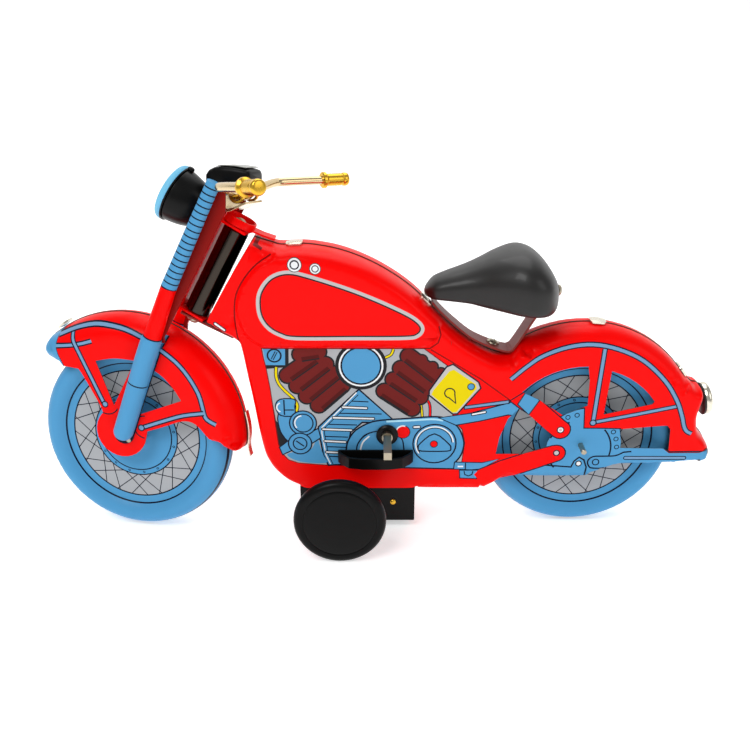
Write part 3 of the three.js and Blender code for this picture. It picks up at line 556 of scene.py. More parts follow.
class Pressing:
    """The rounded cross-section of one half of a pressed shell, from its outline inwards."""

    def __init__(self, stretches, half):
        self.line, self.half = [], half
        self.width, self.power, self.reach, self.rolled = [], [], [], []
        for points, width, power, reach, rolled in stretches:
            self.line += points
            self.width += [width] * len(points)
            self.power += [power] * len(points)
            self.reach += [reach] * len(points)
            self.rolled += [rolled] * len(points)
        self.line = [tuple(map(float, p)) for p in self.line]
        for _ in range(3):
            for values in (self.width, self.power):
                held = list(values)
                for i in range(len(held)):
                    values[i] = (held[i - 1] + held[i] + held[(i + 1) % len(held)]) / 3
        self.swell = lambda points: np.ones(len(points))
        self.extra = []

    def along(self, values, place):
        values = np.array(values, float)
        first = place.astype(int) % len(values)
        t = place - place.astype(int)
        return values[first] * (1 - t) + values[(first + 1) % len(values)] * t

    def height(self, points):
        """Half width of the shell over each (x, z) point inside the outline."""
        best, place = to_line(points, self.line, used=np.flatnonzero(self.rolled))
        width, power = self.along(self.width, place), self.along(self.power, place)
        share = 1 - np.clip(best / width, 0, 1)
        return self.half * (1 - share ** power) ** (1 / power) * self.swell(points)

    def side(self, points):
        """Points and normals of the left half over each (x, z) point."""
        y = self.height(points)
        slopes = []
        for step in ((SLOPE_STEP, 0), (0, SLOPE_STEP)):
            slopes.append((self.height(points + step) - self.height(points - step)) / (2 * SLOPE_STEP))
        normals = np.stack([-slopes[0], -np.ones(len(points)), -slopes[1]], 1)
        return np.stack([points[:, 0], -y, points[:, 1]], 1), normals

    def sheet(self, holes, art, shift=0.0):
        """The whole painted half: its side, and the strips that turn in towards the seam."""
        tin = Tin()
        outline = grow(self.line, -EDGE)
        guides = [p for depth in (0.9, 1.8, 3.0, 4.6) for p in grow(self.line, -depth)] + self.extra
        flat, triangles, paints = cut_sheet(outline, holes, art, "red", SPREAD, guides)
        points, normals = self.side(flat)
        tin.add(points, normals, [list(t) for t in triangles], paints)
        owner = {}
        for triangle, paint in zip(triangles, paints):
            for a, b in zip(triangle, np.roll(triangle, -1)):
                owner[(a, b)] = paint
        rim = [(a, b, paint) for (a, b), paint in owner.items() if (b, a) not in owner]
        ends = flat[[i for a, b, _ in rim for i in (a, b)]]
        away, place = to_line(ends, self.line)
        for k, (a, b, paint) in enumerate(rim):
            pair = slice(2 * k, 2 * k + 2)
            spot = place[pair].astype(int) % len(self.line)
            if away[pair].max() > EDGE * 2.2 or not all(self.rolled[i] for i in spot):
                continue
            self.turn_in(tin, flat[[a, b]], place[pair], points[[a, b]], normals[[a, b]], paint, shift)
        return tin

    def turn_in(self, tin, pair, place, start, normal, paint, shift):
        """Strip from the edge of the side to the seam, over one stretch of the outline."""
        line = np.array(self.line)
        first = place.astype(int) % len(line)
        t = (place - place.astype(int))[:, None]
        crest = line[first] * (1 - t) + line[(first + 1) % len(line)] * t
        outward = crest - pair
        outward /= np.maximum(np.linalg.norm(outward, axis=1), 1e-9)[:, None]
        width, power = self.along(self.width, place), self.along(self.power, place)
        reach = np.array([self.reach[i] for i in first]) + SEAM
        half = np.abs(start[:, 1]) / (1 - (1 - EDGE / width) ** power) ** (1 / power)
        grid, across = [start], [normal]
        edge = np.abs(start[:, 1])
        for step in range(1, TURN_ROWS + 1):
            y = edge * (1 - step / TURN_ROWS) + np.minimum(reach, edge) * step / TURN_ROWS
            share = (1 - np.clip(y / half, 0, 1) ** power) ** (1 / power)
            depth = width * (1 - share)
            spot = crest - outward * (depth - shift * min(step, 2) / 2)[:, None]
            grid.append(np.stack([spot[:, 0], -y, spot[:, 1]], 1))
            rise = (np.clip(y / half, 1e-3, 1) ** (power - 1)) * share ** (1 - power) * width / half
            across.append(np.stack([outward[:, 0], -rise, outward[:, 1]], 1))
        for low, high, n_low, n_high in zip(grid, grid[1:], across, across[1:]):
            tin.add([low[1], low[0], high[0], high[1]], [n_low[1], n_low[0], n_high[0], n_high[1]],
                    [[0, 1, 2, 3]], [paint])


def body_windows():
    """Openings over the rear wheel."""
    arch = 30.3
    return [circle(REAR, arch, 8, 137, 90) + [(74.2, 60), (74.4, 50.4), (72.2, 49.3), (66, 46.6),
            (57.2, 52.6)], circle(REAR, arch - 0.6, 6, 74, 35) + [(97, 50.9), (80.3, 46.9)],
            [(46.9, 45.4), (44.2, 38), (43.2, 31.3), (53, 31.3), (61.2, 34), (61.4, 36), (62.6, 38.8),
            (54.4, 46.6), (50.4, 49.2)], [(86.6, 41.2), (87.6, 36), (87.6, 33.7), (102.9, 33.5),
            (104.6, 32.4), (105, 33), (104.6, 41), (103.4, 42.6), (101, 42.5)], ]


def cylinder_art(fins, width, nubs=()):
    """A finned engine cylinder: maroon fins between round ends, darker below, outlined together in black."""
    art = []
    for ends in fins:
        art += stroke(ends, width + 1.3, "shade") + [(circle(p, width / 2 + 0.65, 16), "shade")
                for p in ends]
    art += [(circle(at, 2.3, 16), "shade") for at in nubs]
    art += [(circle(at, 1.7, 16), "maroon") for at in nubs]
    for ends in fins:
        art += stroke(ends, width, "maroon") + [(circle(p, width / 2, 16), "maroon") for p in ends]
    for a, b in fins:
        a, b = np.array(a, float), np.array(b, float)
        side = np.array([b[1] - a[1], a[0] - b[0]]) / np.linalg.norm(b - a)
        art += stroke([p + side * width * 0.34 for p in (a, b)], width * 0.3, "dark_maroon")
        art += stroke([p + side * width * 0.48 for p in (a, b)], width * 0.09, "shade")
    return art


def engine_art():
    """The printed engine behind the frame tubes."""
    bay = [(-38.4, 71.7), (-37.9, 68), (-37.2, 64.6), (-36.2, 57.1), (-35.5, 49.5), (-34.8, 41.7),
            (-34.2, 35.3), (-33.1, 31.7), (-30.9, 29.1), (-27.4, 27.8), (-18, 27), (13, 25.8),
            (29.3, 25.4), (31, 27.8), (31.8, 35.7), (30.7, 41), (26.6, 45.6), (27.8, 48), (34.6, 56.6),
            (35.6, 59), (24.7, 65.4), (16.6, 71.6)]
    art = [(grow(bay, 0.35), "dark_red"), (bay, "grey")]
    art += [([(-38, 71.6), (-37.4, 65.4), (-36.7, 60.9), (-35.9, 53.3), (-34.9, 44.8), (-31.6, 38.6),
            (-30.4, 34.1), (-33.1, 31.7), (-34.2, 35.3), (-34.8, 41.7), (-35.5, 49.5), (-36.2, 57.1),
            (-37.2, 64.6)], "shade")]
    art += [([(-38.2, 71.6), (-37.2, 64.3), (-29.6, 65), (-29.4, 71.6)], "shade"),
            ([(-38.2, 71.6), (-37.4, 65.7), (-30.8, 65.7), (-30.6, 71.6)], "blue")]
    art += screw((-34.4, 69.2), 2, 62)
    wire = curve([(-33.9, 65), (-34.1, 61.7), (-33.2, 58.6), (-31.2, 56), (-28.6, 53.3), (-27.3, 51),
            (-27.3, 49.1), (-28.4, 46.8)], 4)
    art += band(wire, 0.75, "yellow", 0.3)
    art += cylinder_art([((-25.4, 69.6), (-19.4, 70.6)), ((-30.1, 61.8), (-20.9, 68.6)),
            ((-26.9, 57.9), (-17, 66)), ((-23.7, 54), (-13.9, 62.5)), ((-19.7, 50.5), (-11.4, 58.2))], 5.3)
    art += band(curve([(1.8, 67.8), (3.8, 68.6), (5.5, 69.6), (6.3, 71.6)], 3), 0.6, "yellow", 0.3)
    art += band(curve([(14.8, 52.6), (16.1, 50.6), (16.7, 45)], 3), 0.5, "yellow", 0.3)
    art += band(curve([(16.3, 54.5), (18.5, 52.2), (19.3, 49.5), (19.3, 45)], 3), 0.5, "red", 0.3)
    fins = [((11.5, 69), (21.4, 61)), ((8.9, 64.5), (18.5, 57.1)), ((6.4, 60.3), (15.6, 53.7)),
            ((3.3, 56), (13, 49.2))]
    art += cylinder_art(fins, 5.3, [(16, 67.6), (19.7, 65.1), (22.6, 62.8)])
    art += [([(-32, 71.7), (26, 71.7), (26, 76), (-32, 76)], "red")]
    filter_at, filter_radius, under_tank = (-4.8, 65.4), 8.9, 6.2
    low = math.degrees(math.asin(under_tank / filter_radius))
    high = 180 - low
    art += [(circle(filter_at, filter_radius, 24, high - 360, low), "shade"),
            (circle(filter_at, 7.7, 24, 127 - 360, 53), "white"),
            (circle(filter_at, 7.1, 24, 119 - 360, 61), "line"),
            (circle(filter_at, 6.5, 24, 108 - 360, 72), "blue")]
    art += motor_case_art() + left_fittings_art()
    return art


def motor_case_art():
    """The printed crank case with its cooling fins, and the chain case."""
    case = [(-5.6, 56.2), (7, 44), (-4.6, 44.2), (-8.9, 40.1), (-10, 34.5), (-9, 27.6), (-16.6, 27),
            (-18.2, 31), (-19, 36.4), (-19.9, 39.4), (-19.7, 42)]
    art = outlined(case, "blue", 0.6)
    art += stroke([(-6.4, 55.4), (-18.8, 41.8), (-18.8, 39.4), (-17.6, 31), (-16, 27.2)], 0.4, "white")
    art += stroke([(-5.8, 54.6), (-17.9, 41.6), (-17.9, 39.4), (-16.7, 31), (-15.1, 27.2)], 0.3)
    left = lambda z: np.interp(z, [27, 31, 39.4, 41.6, 54.6], [-15.1, -16.7, -17.9, -17.9, -5.8])
    right = lambda z: np.interp(z, [27, 35, 40, 44, 45, 55.8], [-9.2, -10.2, -9.2, -5.4, 4.6, -6])
    for z in (52, 47.3, 43, 38.2, 34.1, 30.2):
        art += stroke([(left(z), z + 0.15), (right(z), z - 0.15)], 0.42)
    for x0, x1, z in ((-11.3, -3, 49.6), (-14.6, -0.6, 45.5), (-18.4, -8.4, 41), (-17.8, -10.6, 36.3),
                      (-17.3, -10.8, 31.9)):
        art += slit((x0, z + 0.2), (x1, z - 0.2), 0.6)
    chain = curve([(5, 44.7), (12, 45.2), (18, 45.7), (22.9, 45.7), (26.4, 44.4), (29.7, 40.9),
            (31.4, 35.7), (30.5, 30.9), (28.4, 27.8)], 4) + [(29.3, 25.5), (9, 26), (-9, 27), (-9.6, 30)]
    chain += curve([(-10, 33), (-9.3, 36.5), (-6.7, 40.5), (-1.8, 43.5), (2, 44.4)], 4)
    art += outlined(chain, "blue", 0.6)
    art += stroke(curve([(4, 44.2), (12, 44.6), (20, 45.1), (24, 44.6)], 4), 0.7, "light_blue")
    art += [(curve([(5.3, 40.6), (0, 40.5), (-3.9, 38.9), (-6.4, 35.3), (-6.8, 32.1), (-6.4, 28),
            (0, 26.6), (8, 26.6), (10.4, 30), (10.5, 34), (9.4, 38)], 4, True), "line"),
            (curve([(5.1, 40.1), (0, 40), (-3.5, 38.4), (-5.9, 35.2), (-6.3, 32.1), (-6, 28.2),
            (0, 27.1), (7.8, 27.1), (9.9, 30), (10, 34), (9, 37.7)], 4, True), "blue")]
    art += stroke(curve([(-5, 30.5), (-5.2, 33), (-4.2, 36.2), (-2, 38.4)], 4), 0.55, "white")
    art += outlined(circle((21.2, 35.4), 7.4), "blue", 0.55)
    art += stroke(circle((21.2, 35.4), 6.7, 18, 5, 215), 0.5, "white")
    art += stroke(circle((21.2, 35.4), 6.25, 18, 5, 215), 0.35)
    art += outlined(curve([(21.1, 39.1), (26, 35.3), (26.8, 33.7), (25.8, 32.7), (16.8, 32.7),
            (15.7, 33.7), (16.4, 35.5)], 3, True), "blue", 0.5)
    art += outlined(circle((21, 35.3), 1.15, 14), "red", 0.3)
    art += outlined(circle((9.9, 40.1), 2.35, 18), "red", 0.3)
    art += stroke(circle((9.9, 40.1), 2.4, 10, 70, 190), 0.5, "white")
    art += slit((13.9, 42), (15.6, 42.1), 0.7)
    return art


def left_fittings_art():
    """Carburettor, pipes and screws at the front of the engine."""
    art = [(curve([(-31.6, 31), (-27.6, 32.5), (-22.5, 33.6), (-20.6, 38.5), (-19.6, 34.5), (-18.4, 30.5),
                   (-17.6, 27.6), (-27, 28.2)], 3, True), "blue")]
    art += outlined(curve([(-33.8, 46.8), (-33.6, 41.7), (-32.3, 38.5), (-30.3, 36.5), (-28, 39.3),
            (-29.7, 42.5), (-29.9, 46.8)], 3, True), "blue", 0.45)
    art += outlined(curve([(-34.6, 50), (-33.1, 52.6), (-28.2, 52.6), (-28.3, 50), (-28.5, 46.8),
            (-33, 46.8)], 3, True), "blue", 0.45)
    art += stroke([(-31.8, 52.6), (-31.8, 46.8)], 0.5) + stroke([(-31.6, 48.7), (-28.4, 48.7)], 0.45)
    art += stroke(circle((-32.6, 49.7), 1.8, 8, 110, 250), 0.5, "white")
    art += outlined([(-30.2, 36.9), (-33.9, 33.9), (-33, 31.3), (-29, 33.3)], "blue", 0.45)
    art += outlined([(-24.8, 38.7), (-20.2, 41.2), (-19.5, 37.9), (-23.2, 35.3)], "blue", 0.45)
    ring_at = (-25.4, 43.6)
    art += outlined(circle(ring_at, 4.5), "blue", 0.5) + outlined(circle(ring_at, 3.3), "blue", 0.45)
    art += stroke(circle(ring_at, 2.9, 12, 100, 220), 0.45, "white")
    low = (-26.7, 35.5)
    art += outlined(circle(low, 3.9), "blue", 0.5)
    art += [(circle(low, 3.9), "blue")] + outlined(circle(low, 2.2), "blue", 0.45)
    art += stroke([(-28.1, 36.6), (-25.3, 34.4)], 0.5)
    return art


def oil_art():
    """The yellow oil can with a drop on it."""
    can = [(26.7, 65.7), (35.6, 59.2), (36.4, 57.1), (28.8, 47.5), (27.4, 47.4), (19.1, 54.5),
            (19.1, 56), (24.7, 64.8)]
    face = [(27.1, 64), (34.8, 58.6), (35.3, 57), (28.6, 47.9), (27.2, 47.7), (19.6, 54.6), (20.2, 56.2),
            (25.6, 63.4)]
    drop = circle((26, 55.2), 2, 18, -10, 260) + [(28.4, 50.9)]
    art = outlined(can, "silver", 0.55) + [(face, "yellow")]
    art += outlined(circle((33.3, 57.6), 1.05, 14), "blue", 0.3)
    art += [(drop, "line"), (grow(drop, -0.45), "yellow")]
    return art


def rear_art():
    """Chain, frame arms, hub plate, exhaust and fender stripes."""
    art = outlined([(22.9, 45.6), (33.4, 47.2), (45.4, 50.8), (49, 52), (54, 46), (46.7, 47), (37, 44.6),
            (28.6, 43)], "blue", 0.45)
    art += slit((34.3, 47), (38.6, 47.9), 0.6)
    art += outlined([(31.5, 49.2), (46.6, 51.4), (46.6, 52.3), (31.5, 50.1)], "stripe", 0.4)
    art += stroke([(19, 71.4), (36.2, 60.7), (49.3, 50.8)], 0.4, "dark_red")
    art += outlined([(30.7, 24.5), (30.9, 21.6), (36.7, 21.4), (36.9, 24.5)], "blue", 0.4)
    art += stroke([(32.2, 24.3), (32.5, 22.9), (33.8, 22.3), (35.1, 22.9), (35.4, 24.3)], 0.4)
    art += outlined([(28.6, 25.3), (28.8, 27.8), (38.6, 27.6), (44.4, 29.2), (38.4, 25.4), (34.8, 25)],
            "blue", 0.4)
    art += stroke([(32.6, 27.6), (32.6, 24.9)], 0.4) + stroke([(29.8, 26.2), (31.8, 26.2)], 0.6, "white")

    hub = curve([(59.4, 39), (62.6, 43.2), (66.1, 46.4), (69.4, 48.2), (73.2, 49.2)], 3)
    hub += [(73.7, 41.4), (79.5, 41.4), (86.7, 41.2), (88, 34.2), (102.9, 33.9), (105.3, 32),
            (119.6, 32.2), (121, 25), (86, 25), (81.3, 24), (75, 20), (48, 20), (60.4, 29), (59.4, 34)]
    art += outlined(hub, "blue", 0.45)
    plate, arc, screws = (72.9, 33.4), 11.3, 13.4
    for count, start, end in ((12, 112, 158), (12, -16, 42), (6, 198, 222)):
        art += stroke(circle(plate, arc, count, start, end))
    for angle in np.radians([98, 112, 156, 170, 30, 17, 3]):
        at = (plate[0] + screws * math.cos(angle), plate[1] + screws * math.sin(angle))
        art += outlined(circle(at, 0.62, 10), "blue", 0.32)
    art += stroke([(59.4, 26.9), (70.7, 26), (71.6, 28.4), (73.3, 30), (75.1, 28.9), (76.2, 25.9),
            (75.9, 22.4)])
    art += outlined(circle((73.3, 27.4), 0.8, 12), "white", 0.42)
    art += stroke(curve([(96, 25.4), (86.4, 25.4), (79, 25.5), (77.2, 26.2), (76.5, 28.4), (78.2, 30.2),
            (82, 30.4), (86.2, 30.6), (89, 32)], 3) + [(91.8, 32.3)])
    art += outlined(circle((79.4, 28), 0.95, 12), "blue", 0.42)
    art += slit((89.9, 29.7), (111, 29.7), 0.9, "stripe")
    art += stroke([(103, 33.7), (105.3, 31.8), (116, 31.9), (118.8, 33)], 0.4, "dark_red")

    upper = [(47.4, 52.2), (53.1, 56.2), (57.9, 52.2), (66.6, 44.4)]
    upper += circle((65.7, 41), 3.3, 8, 40, -130) + [(60.5, 41), (54.4, 46.6)]
    art += outlined(upper, "red", 0.45)
    art += outlined([(50.1, 50.9), (52.9, 56), (57.2, 52.4), (54, 47.1)], "blue", 0.4)
    art += outlined(circle((65.7, 40.9), 1.0, 14), "white", 0.4)
    art += [(circle((65.7, 40.9), 0.6, 10), "silver")]
    lower = [(35.8, 22.8), (37.2, 24.6), (45, 28.3), (54, 31.6), (63.2, 34.4)]
    lower += circle((65, 31.6), 3, 8, 95, -65) + [(59.5, 26.2), (52.5, 23.5), (45.4, 20.6), (40, 18)]
    art += stroke(lower[1:-2], 0.9) + [(lower, "red")]
    art += [([(38.4, 14), (38.6, 21.4), (44, 23.4), (53, 22), (52, 14)], "red")]
    art += outlined(circle((65, 31.7), 0.85, 14), "silver", 0.42)

    art += band([(78.3, 71.6), (77.8, 62), (76.9, 44)], 1.1, "stripe", 0.42)
    art += band([(76.9, 43.8), (91.5, 46.9), (106.2, 50.2)], 1.0, "stripe", 0.42)
    art += outlined(circle((76.9, 43.7), 0.9, 12), "stripe", 0.42)
    stripe = curve([(46.9, 60.3), (52.5, 65.4), (57.7, 69.1), (65.9, 72.2), (74.3, 73.1), (83, 71.4),
            (92, 67.2), (100.2, 59.8), (105.3, 52.4), (107.9, 46.4), (109.2, 42.4), (110.4, 40.4),
            (112.2, 39.4)], 4)
    art += band(stripe, 1.15, "stripe", 0.42)
    return art


def tank_art():
    """The silver teardrop, filler caps, the pressed marks on the neck, and painted shade along the tank's
    pressed edges.
    """
    drop = curve([(-38.4, 88.2), (-37.6, 92.3), (-34.9, 96.2), (-31.5, 98.2), (-27.5, 98.7),
            (-22.6, 97.6), (-10.7, 93.7), (-0.6, 89.7), (9.5, 84.9), (14, 82), (15.6, 79.5),
            (14.2, 77.3), (10, 76.5), (-8, 76.4), (-26.4, 76.4), (-31.5, 77.5), (-35.4, 79.9),
            (-37.8, 83.6)], 5, True)
    art = [(grow(drop, 0.95), "silver"), (grow(drop, 0.2), "silver"), (grow(drop, -0.2), "shade"),
           (grow(drop, -0.7), "red")]
    for centre, radius in (((-26.2, 101.5), 2.2), ((-19.5, 100.2), 1.7)):
        art += outlined(circle(centre, radius), "white", 0.25, "shade")
        art += [(circle(centre, radius * 0.72), "line"), (circle(centre, radius * 0.52), "white")]
    art += slit((-53.7, 80.7), (-50.8, 78.4), 0.7)
    art += stroke([(-39.8, 107.4), (-37, 105.8)], 0.7, "dark_red")
    # painted shade: a dark line along the crease at the front edge of the tank's pressing
    art += stroke(EMBOSS_FRONT, 0.45, "dark_red")
    # painted shade under the tank's raised edge, along its bottom and rear
    art += stroke([(-38, 71.8), (18.7, 71.8), (21.4, 73.8), (22.3, 76.7), (21.5, 79.9)], 0.4, "dark_red")
    return art


def body_swell(points):
    """Raises the tank's sides above the frame, and dimples the neck."""
    away, _ = to_line(points, EMBOSS)
    depth = np.where(inside(EMBOSS, points), away, 0)
    rise = np.clip(depth / 1.8, 0, 1)
    swell = 1 + TANK_SWELL * rise ** 2 * (3 - 2 * rise)
    for centre in ((-38.9, 104.3), (-49.3, 81)):
        off = np.linalg.norm(points - centre, axis=1)
        swell -= 0.05 * np.clip(1 - off / 2.4, 0, 1) ** 0.5
    return swell


shell = Pressing(STRETCHES, BODY_HALF)
shell.swell = body_swell
shell.extra = [p for depth in (0, 0.6, 1.2, 1.8) for p in grow(EMBOSS, -depth)]
body_art = engine_art() + rear_art() + oil_art() + tank_art()
holes = body_windows() + [circle(WIND, 3.6, 20)]
body_tin = shell.sheet(holes, body_art)
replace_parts(body_tin.build("tin_body_left", "root", "red_tin"), "body_shell_left")
far_tin = shell.sheet(body_windows(), body_art, FAR_SHIFT)
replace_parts(far_tin.build("tin_body_right", "root", "red_tin", mirror=True), "body_shell_right")


# ---- steering head -------------------------------------------------------------------
def on_axis(along, forward=0.0):
    """A point in the middle plane, by its distance along the steering axis and in front of it."""
    return STEER_POINT + STEER_AXIS * along + FORWARD * forward


def flat_axis(along, forward=0.0):
    point = on_axis(along, forward)
    return point[0], point[2]


HEAD_RADIUS = 4.3
HEAD_LOW, HEAD_HIGH = -18.2, 14.4
EAR_LOW, EAR_HIGH = HEAD_LOW - 2.2, HEAD_HIGH + 1.4


def head_pieces():
    """Upper and lower brackets on the body, the steering tube and its pin."""
    top_line = [flat_axis(EAR_HIGH, -1), flat_axis(EAR_HIGH, -5), (-40.4, 109.9), (-37.4, 108.5),
            (-33.4, 107.1)]
    strap = ribbon("head_strap_top", top_line, 2.5, 0.7, RED, "root")
    count = 36
    rings = []
    for depth, level in ((0, 0), (0, 2.3), (0.2, 2.6), (0.6, 2.6), (0.8, 2.3), (0.8, 0.7)):
        rings.append((circle((0, 0), 4.4 - depth, count), level))
    points = []
    for ring_points, level in rings:
        for across, forward in ring_points:
            stretch = forward + (1 if forward > 0 else -1)
            points.append(on_axis(EAR_HIGH + level, stretch) + np.array([0, across, 0]))
    faces = skin(len(rings), count)
    dish = crisp(mesh_object("head_dish", points, faces, RED, "root"), 40)
    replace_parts(strap, "head_bracket_top")
    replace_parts(dish, "head_bracket_top")
    low_line = [flat_axis(EAR_LOW, 4.6), flat_axis(EAR_LOW, -6.4), (-49, 73.2)]
    low = ribbon("head_bracket_low", low_line, 4.4, 0.7, MAROON, "root")
    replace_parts(low, "head_bracket_bottom")
    pin = lathe("head_pin", [(0, 0), (1.7, 0.1), (2.1, 0.6), (2.1, 1.3), (1.1, 1.6), (1.1, 38.6),
            (2, 38.8), (2.2, 39.3), (1.9, 40), (1, 40.5), (0, 40.6)], on_axis(EAR_LOW - 2.2), STEER_AXIS,
            STEEL, "root", angle=40)
    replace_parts(pin, "steering_pin")
    length = HEAD_HIGH - HEAD_LOW
    # the tube's chrome is darkened, a painted dark reflection
    tube = lathe("steering_tube_chrome", [(0, 0), (HEAD_RADIUS - 0.5, 0), (HEAD_RADIUS, 0.4),
            (HEAD_RADIUS, length - 0.4), (HEAD_RADIUS - 0.5, length), (0, length)], on_axis(HEAD_LOW),
            STEER_AXIS, CHROME_PAINTED_DARK_REFLECTION, "fork", FORK, angle=40)
    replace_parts(tube, "steering_tube")


# ---- fork and front fender -----------------------------------------------------------
FENDER_AT = (-88.5, 37)
HUB_PLATE = (-88.6, 38.6)
FENDER_ARC = circle(FENDER_AT, 43.4, 34, 124, 0)
FENDER_HEEL = curve([(-45.1, 36.4), (-45.5, 34), (-46.8, 32.8), (-48.6, 33), (-51.4, 34.4)], 3)
FENDER_FOOT = curve([(-54.3, 36.3), (-57.2, 39.4), (-60, 42.6), (-62.9, 44), (-66.6, 43.6),
                     (-71.6, 41.6), (-78.4, 39.2)], 3)
FENDER_FOOT += circle(HUB_PLATE, 9.8, 18, -10, -225)
FENDER_FOOT += curve([(-95.9, 47.2), (-102.3, 59.5), (-104.4, 60.9), (-108.6, 61.4)], 3)
FENDER_NOSE = curve([(-112.8, 61.5), (-116, 62.9), (-117.9, 65.2), (-118, 68.2), (-115.9, 71)], 4)
FENDER_STRETCHES = [
    (FENDER_ARC, 7, 2, 0, True), (FENDER_HEEL, 3, 2, 0, True), (FENDER_FOOT, 2, 2, 5, False),
    (FENDER_NOSE, 6, 2, 0, True),
]
LEG_LINE = [(-48.5, 127), (-57, 110.3), (-65.9, 92.6), (-76.5, 67), (-88.1, 36.8)]


def fender_windows():
    return [
        curve([(-96.2, 64.4), (-92.2, 65.3), (-88, 65.8), (-81.4, 65.4)], 3) + [(-90.6, 48.4)],
        curve([(-74.4, 62.2), (-71.4, 60), (-68, 56.2), (-65.3, 51.8)], 3) + [(-80.8, 45.8)],
    ]


def fender_art():
    """Printed stripes and outlines on the front fender."""
    tip = curve([(-108.4, 76.4), (-110.6, 73.6), (-111.1, 71), (-110.9, 68.2), (-110.1, 65.3),
            (-108.3, 61.2)], 3)
    art = stroke(tip) + [(tip + [(-109, 56), (-124, 56), (-124, 82)], "blue")]
    art += stroke(circle((-93.2, 49.4), 4.4, 12, 205, 330), 0.45)
    art += stroke(circle((-79.4, 41), 4.2, 12, 88, 262), 0.45)
    sleeve = stroke([(-66.5, 91.2), LEG_LINE[3], (-87.5, 38.4)], 6.6)[0][0]
    art += [(grow(sleeve, 0.55), "line"), (sleeve, "blue"), (circle((-87.7, 38), 3.9), "line"),
            (stroke([(-64, 97), (-71.5, 79.4), (-73, 75.4)], 11)[0][0], "red")]
    art += band(curve([(-111, 68.9), (-102.9, 69.9), (-97.1, 71.5)], 3), 1.0, "stripe")
    art += band(curve([(-104.6, 76), (-104.2, 72.2), (-102.9, 68.6), (-98.5, 58.4), (-94.1, 48.3)], 3),
            1.0, "stripe")
    art += outlined(circle((-94, 48.6), 0.85, 12), "stripe", 0.42)
    art += band(curve([(-110.8, 72.4), (-103.5, 75.5), (-96.6, 77.2), (-90.7, 77.2), (-84.5, 76.2),
            (-78.8, 74), (-75, 71.8)], 3), 1.05, "stripe")
    art += band(curve([(-71.8, 69.8), (-66.6, 65.9), (-62.4, 61.1), (-58.9, 54.9), (-57.6, 49.8),
            (-57.2, 47.8), (-56.2, 45.6), (-53, 43.9)], 3), 1.1, "stripe")
    art += band(curve([(-81, 40.6), (-72, 44), (-64.9, 46.4), (-57.3, 47.8)], 3), 1.0, "stripe")
    art += outlined(circle((-80.9, 40.7), 0.9, 12), "stripe", 0.42)
    return art


def fork_leg(side, name):
    """One round leg: striped at the top, red in the middle, and a blue sleeve with a rounded foot."""
    line = np.array([(x, side * y, z) for (x, z), y in zip(LEG_LINE, (12.2, 12.2, 12.1, 11.6, 10.6))])
    lengths = np.concatenate([[0], np.cumsum(np.linalg.norm(np.diff(line, axis=0), axis=1))])
    total = lengths[-1]
    pitch, mark = 2.15, 0.45
    stations, paints = [], []
    at = 0.3
    while at < 37.6:
        stations += [at, at + pitch - mark]
        paints += [PAINT["blue"], PAINT["line"]]
        at += pitch
    red_end = 57.2
    stations += list(np.linspace(at, red_end, 8))
    paints += [PAINT["red"]] * 8
    sleeve_end, foot = total + 0.6, 3.4
    stations += [red_end + 0.25, red_end + 0.7, red_end + 1.5]
    paints += [PAINT["line"], PAINT["blue"], PAINT["blue"]]
    mark_at = 75.6
    stations += list(np.linspace(red_end + 4, mark_at, 7)) + [mark_at + 0.5]
    paints += [PAINT["blue"]] * 6 + [PAINT["line"], PAINT["blue"]]
    stations += list(np.linspace(mark_at + 3, sleeve_end - foot, 6))
    paints += [PAINT["blue"]] * 6
    rounding = foot * np.sin(np.radians([12, 25, 38, 50, 62, 74, 84, 90]))
    stations += list(sleeve_end - foot + rounding)
    paints += [PAINT["blue"]] * 8
    stations = np.array(stations)
    spots = np.stack([np.interp(stations, lengths, line[:, k]) for k in range(3)], 1)
    beyond = stations > total
    last = (line[-1] - line[-2]) / np.linalg.norm(line[-1] - line[-2])
    spots[beyond] = line[-1] + last * (stations[beyond] - total)[:, None]
    radii = np.interp(stations, [0, 36, red_end - 4, red_end + 0.2, red_end + 1.6],
            [2.25, 2.6, 3.0, 3.1, 3.5])
    radii[-8:] = 3.5 * np.cos(np.radians([12, 25, 38, 50, 62, 74, 84, 89]))
    return sweep(name, spots, radii, paints[:len(stations) - 1], "fork", FORK, 28)


def fork_flange(side, name):
    """The flat strip behind a leg, pressed from the fender's sheet."""
    outline = [(-49.8, 126), (-45.6, 124.4), flat_axis(20, 3.2), flat_axis(-29, 3.6), (-69.5, 72.4),
            (-72.4, 73), (-66.4, 90.6), (-57.6, 109)]
    inner, outer = side * 9.6, side * 10.3
    # the strip is drawn in the darker red, painted shade for the shadow it lies in behind the leg
    return slab(name, outline, min(inner, outer), max(inner, outer), PAINT["flange"], "fork",
            FORK, 0.2)


def fork():
    fender = Pressing(FENDER_STRETCHES, FENDER_HALF)
    art = fender_art()
    for name, mirror, shift in (("left", False, 0.0), ("right", True, FAR_SHIFT)):
        tin = fender.sheet(fender_windows(), art, shift)
        side = 1 if mirror else -1
        pieces = [tin.build(f"tin_fender_{name}", "fork", "red_tin", FORK, mirror),
                  fork_leg(side, f"fork_leg_{name}"), fork_flange(side, f"fork_flange_{name}")]
        for piece in pieces:
            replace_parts(piece, f"fork_side_{name}")


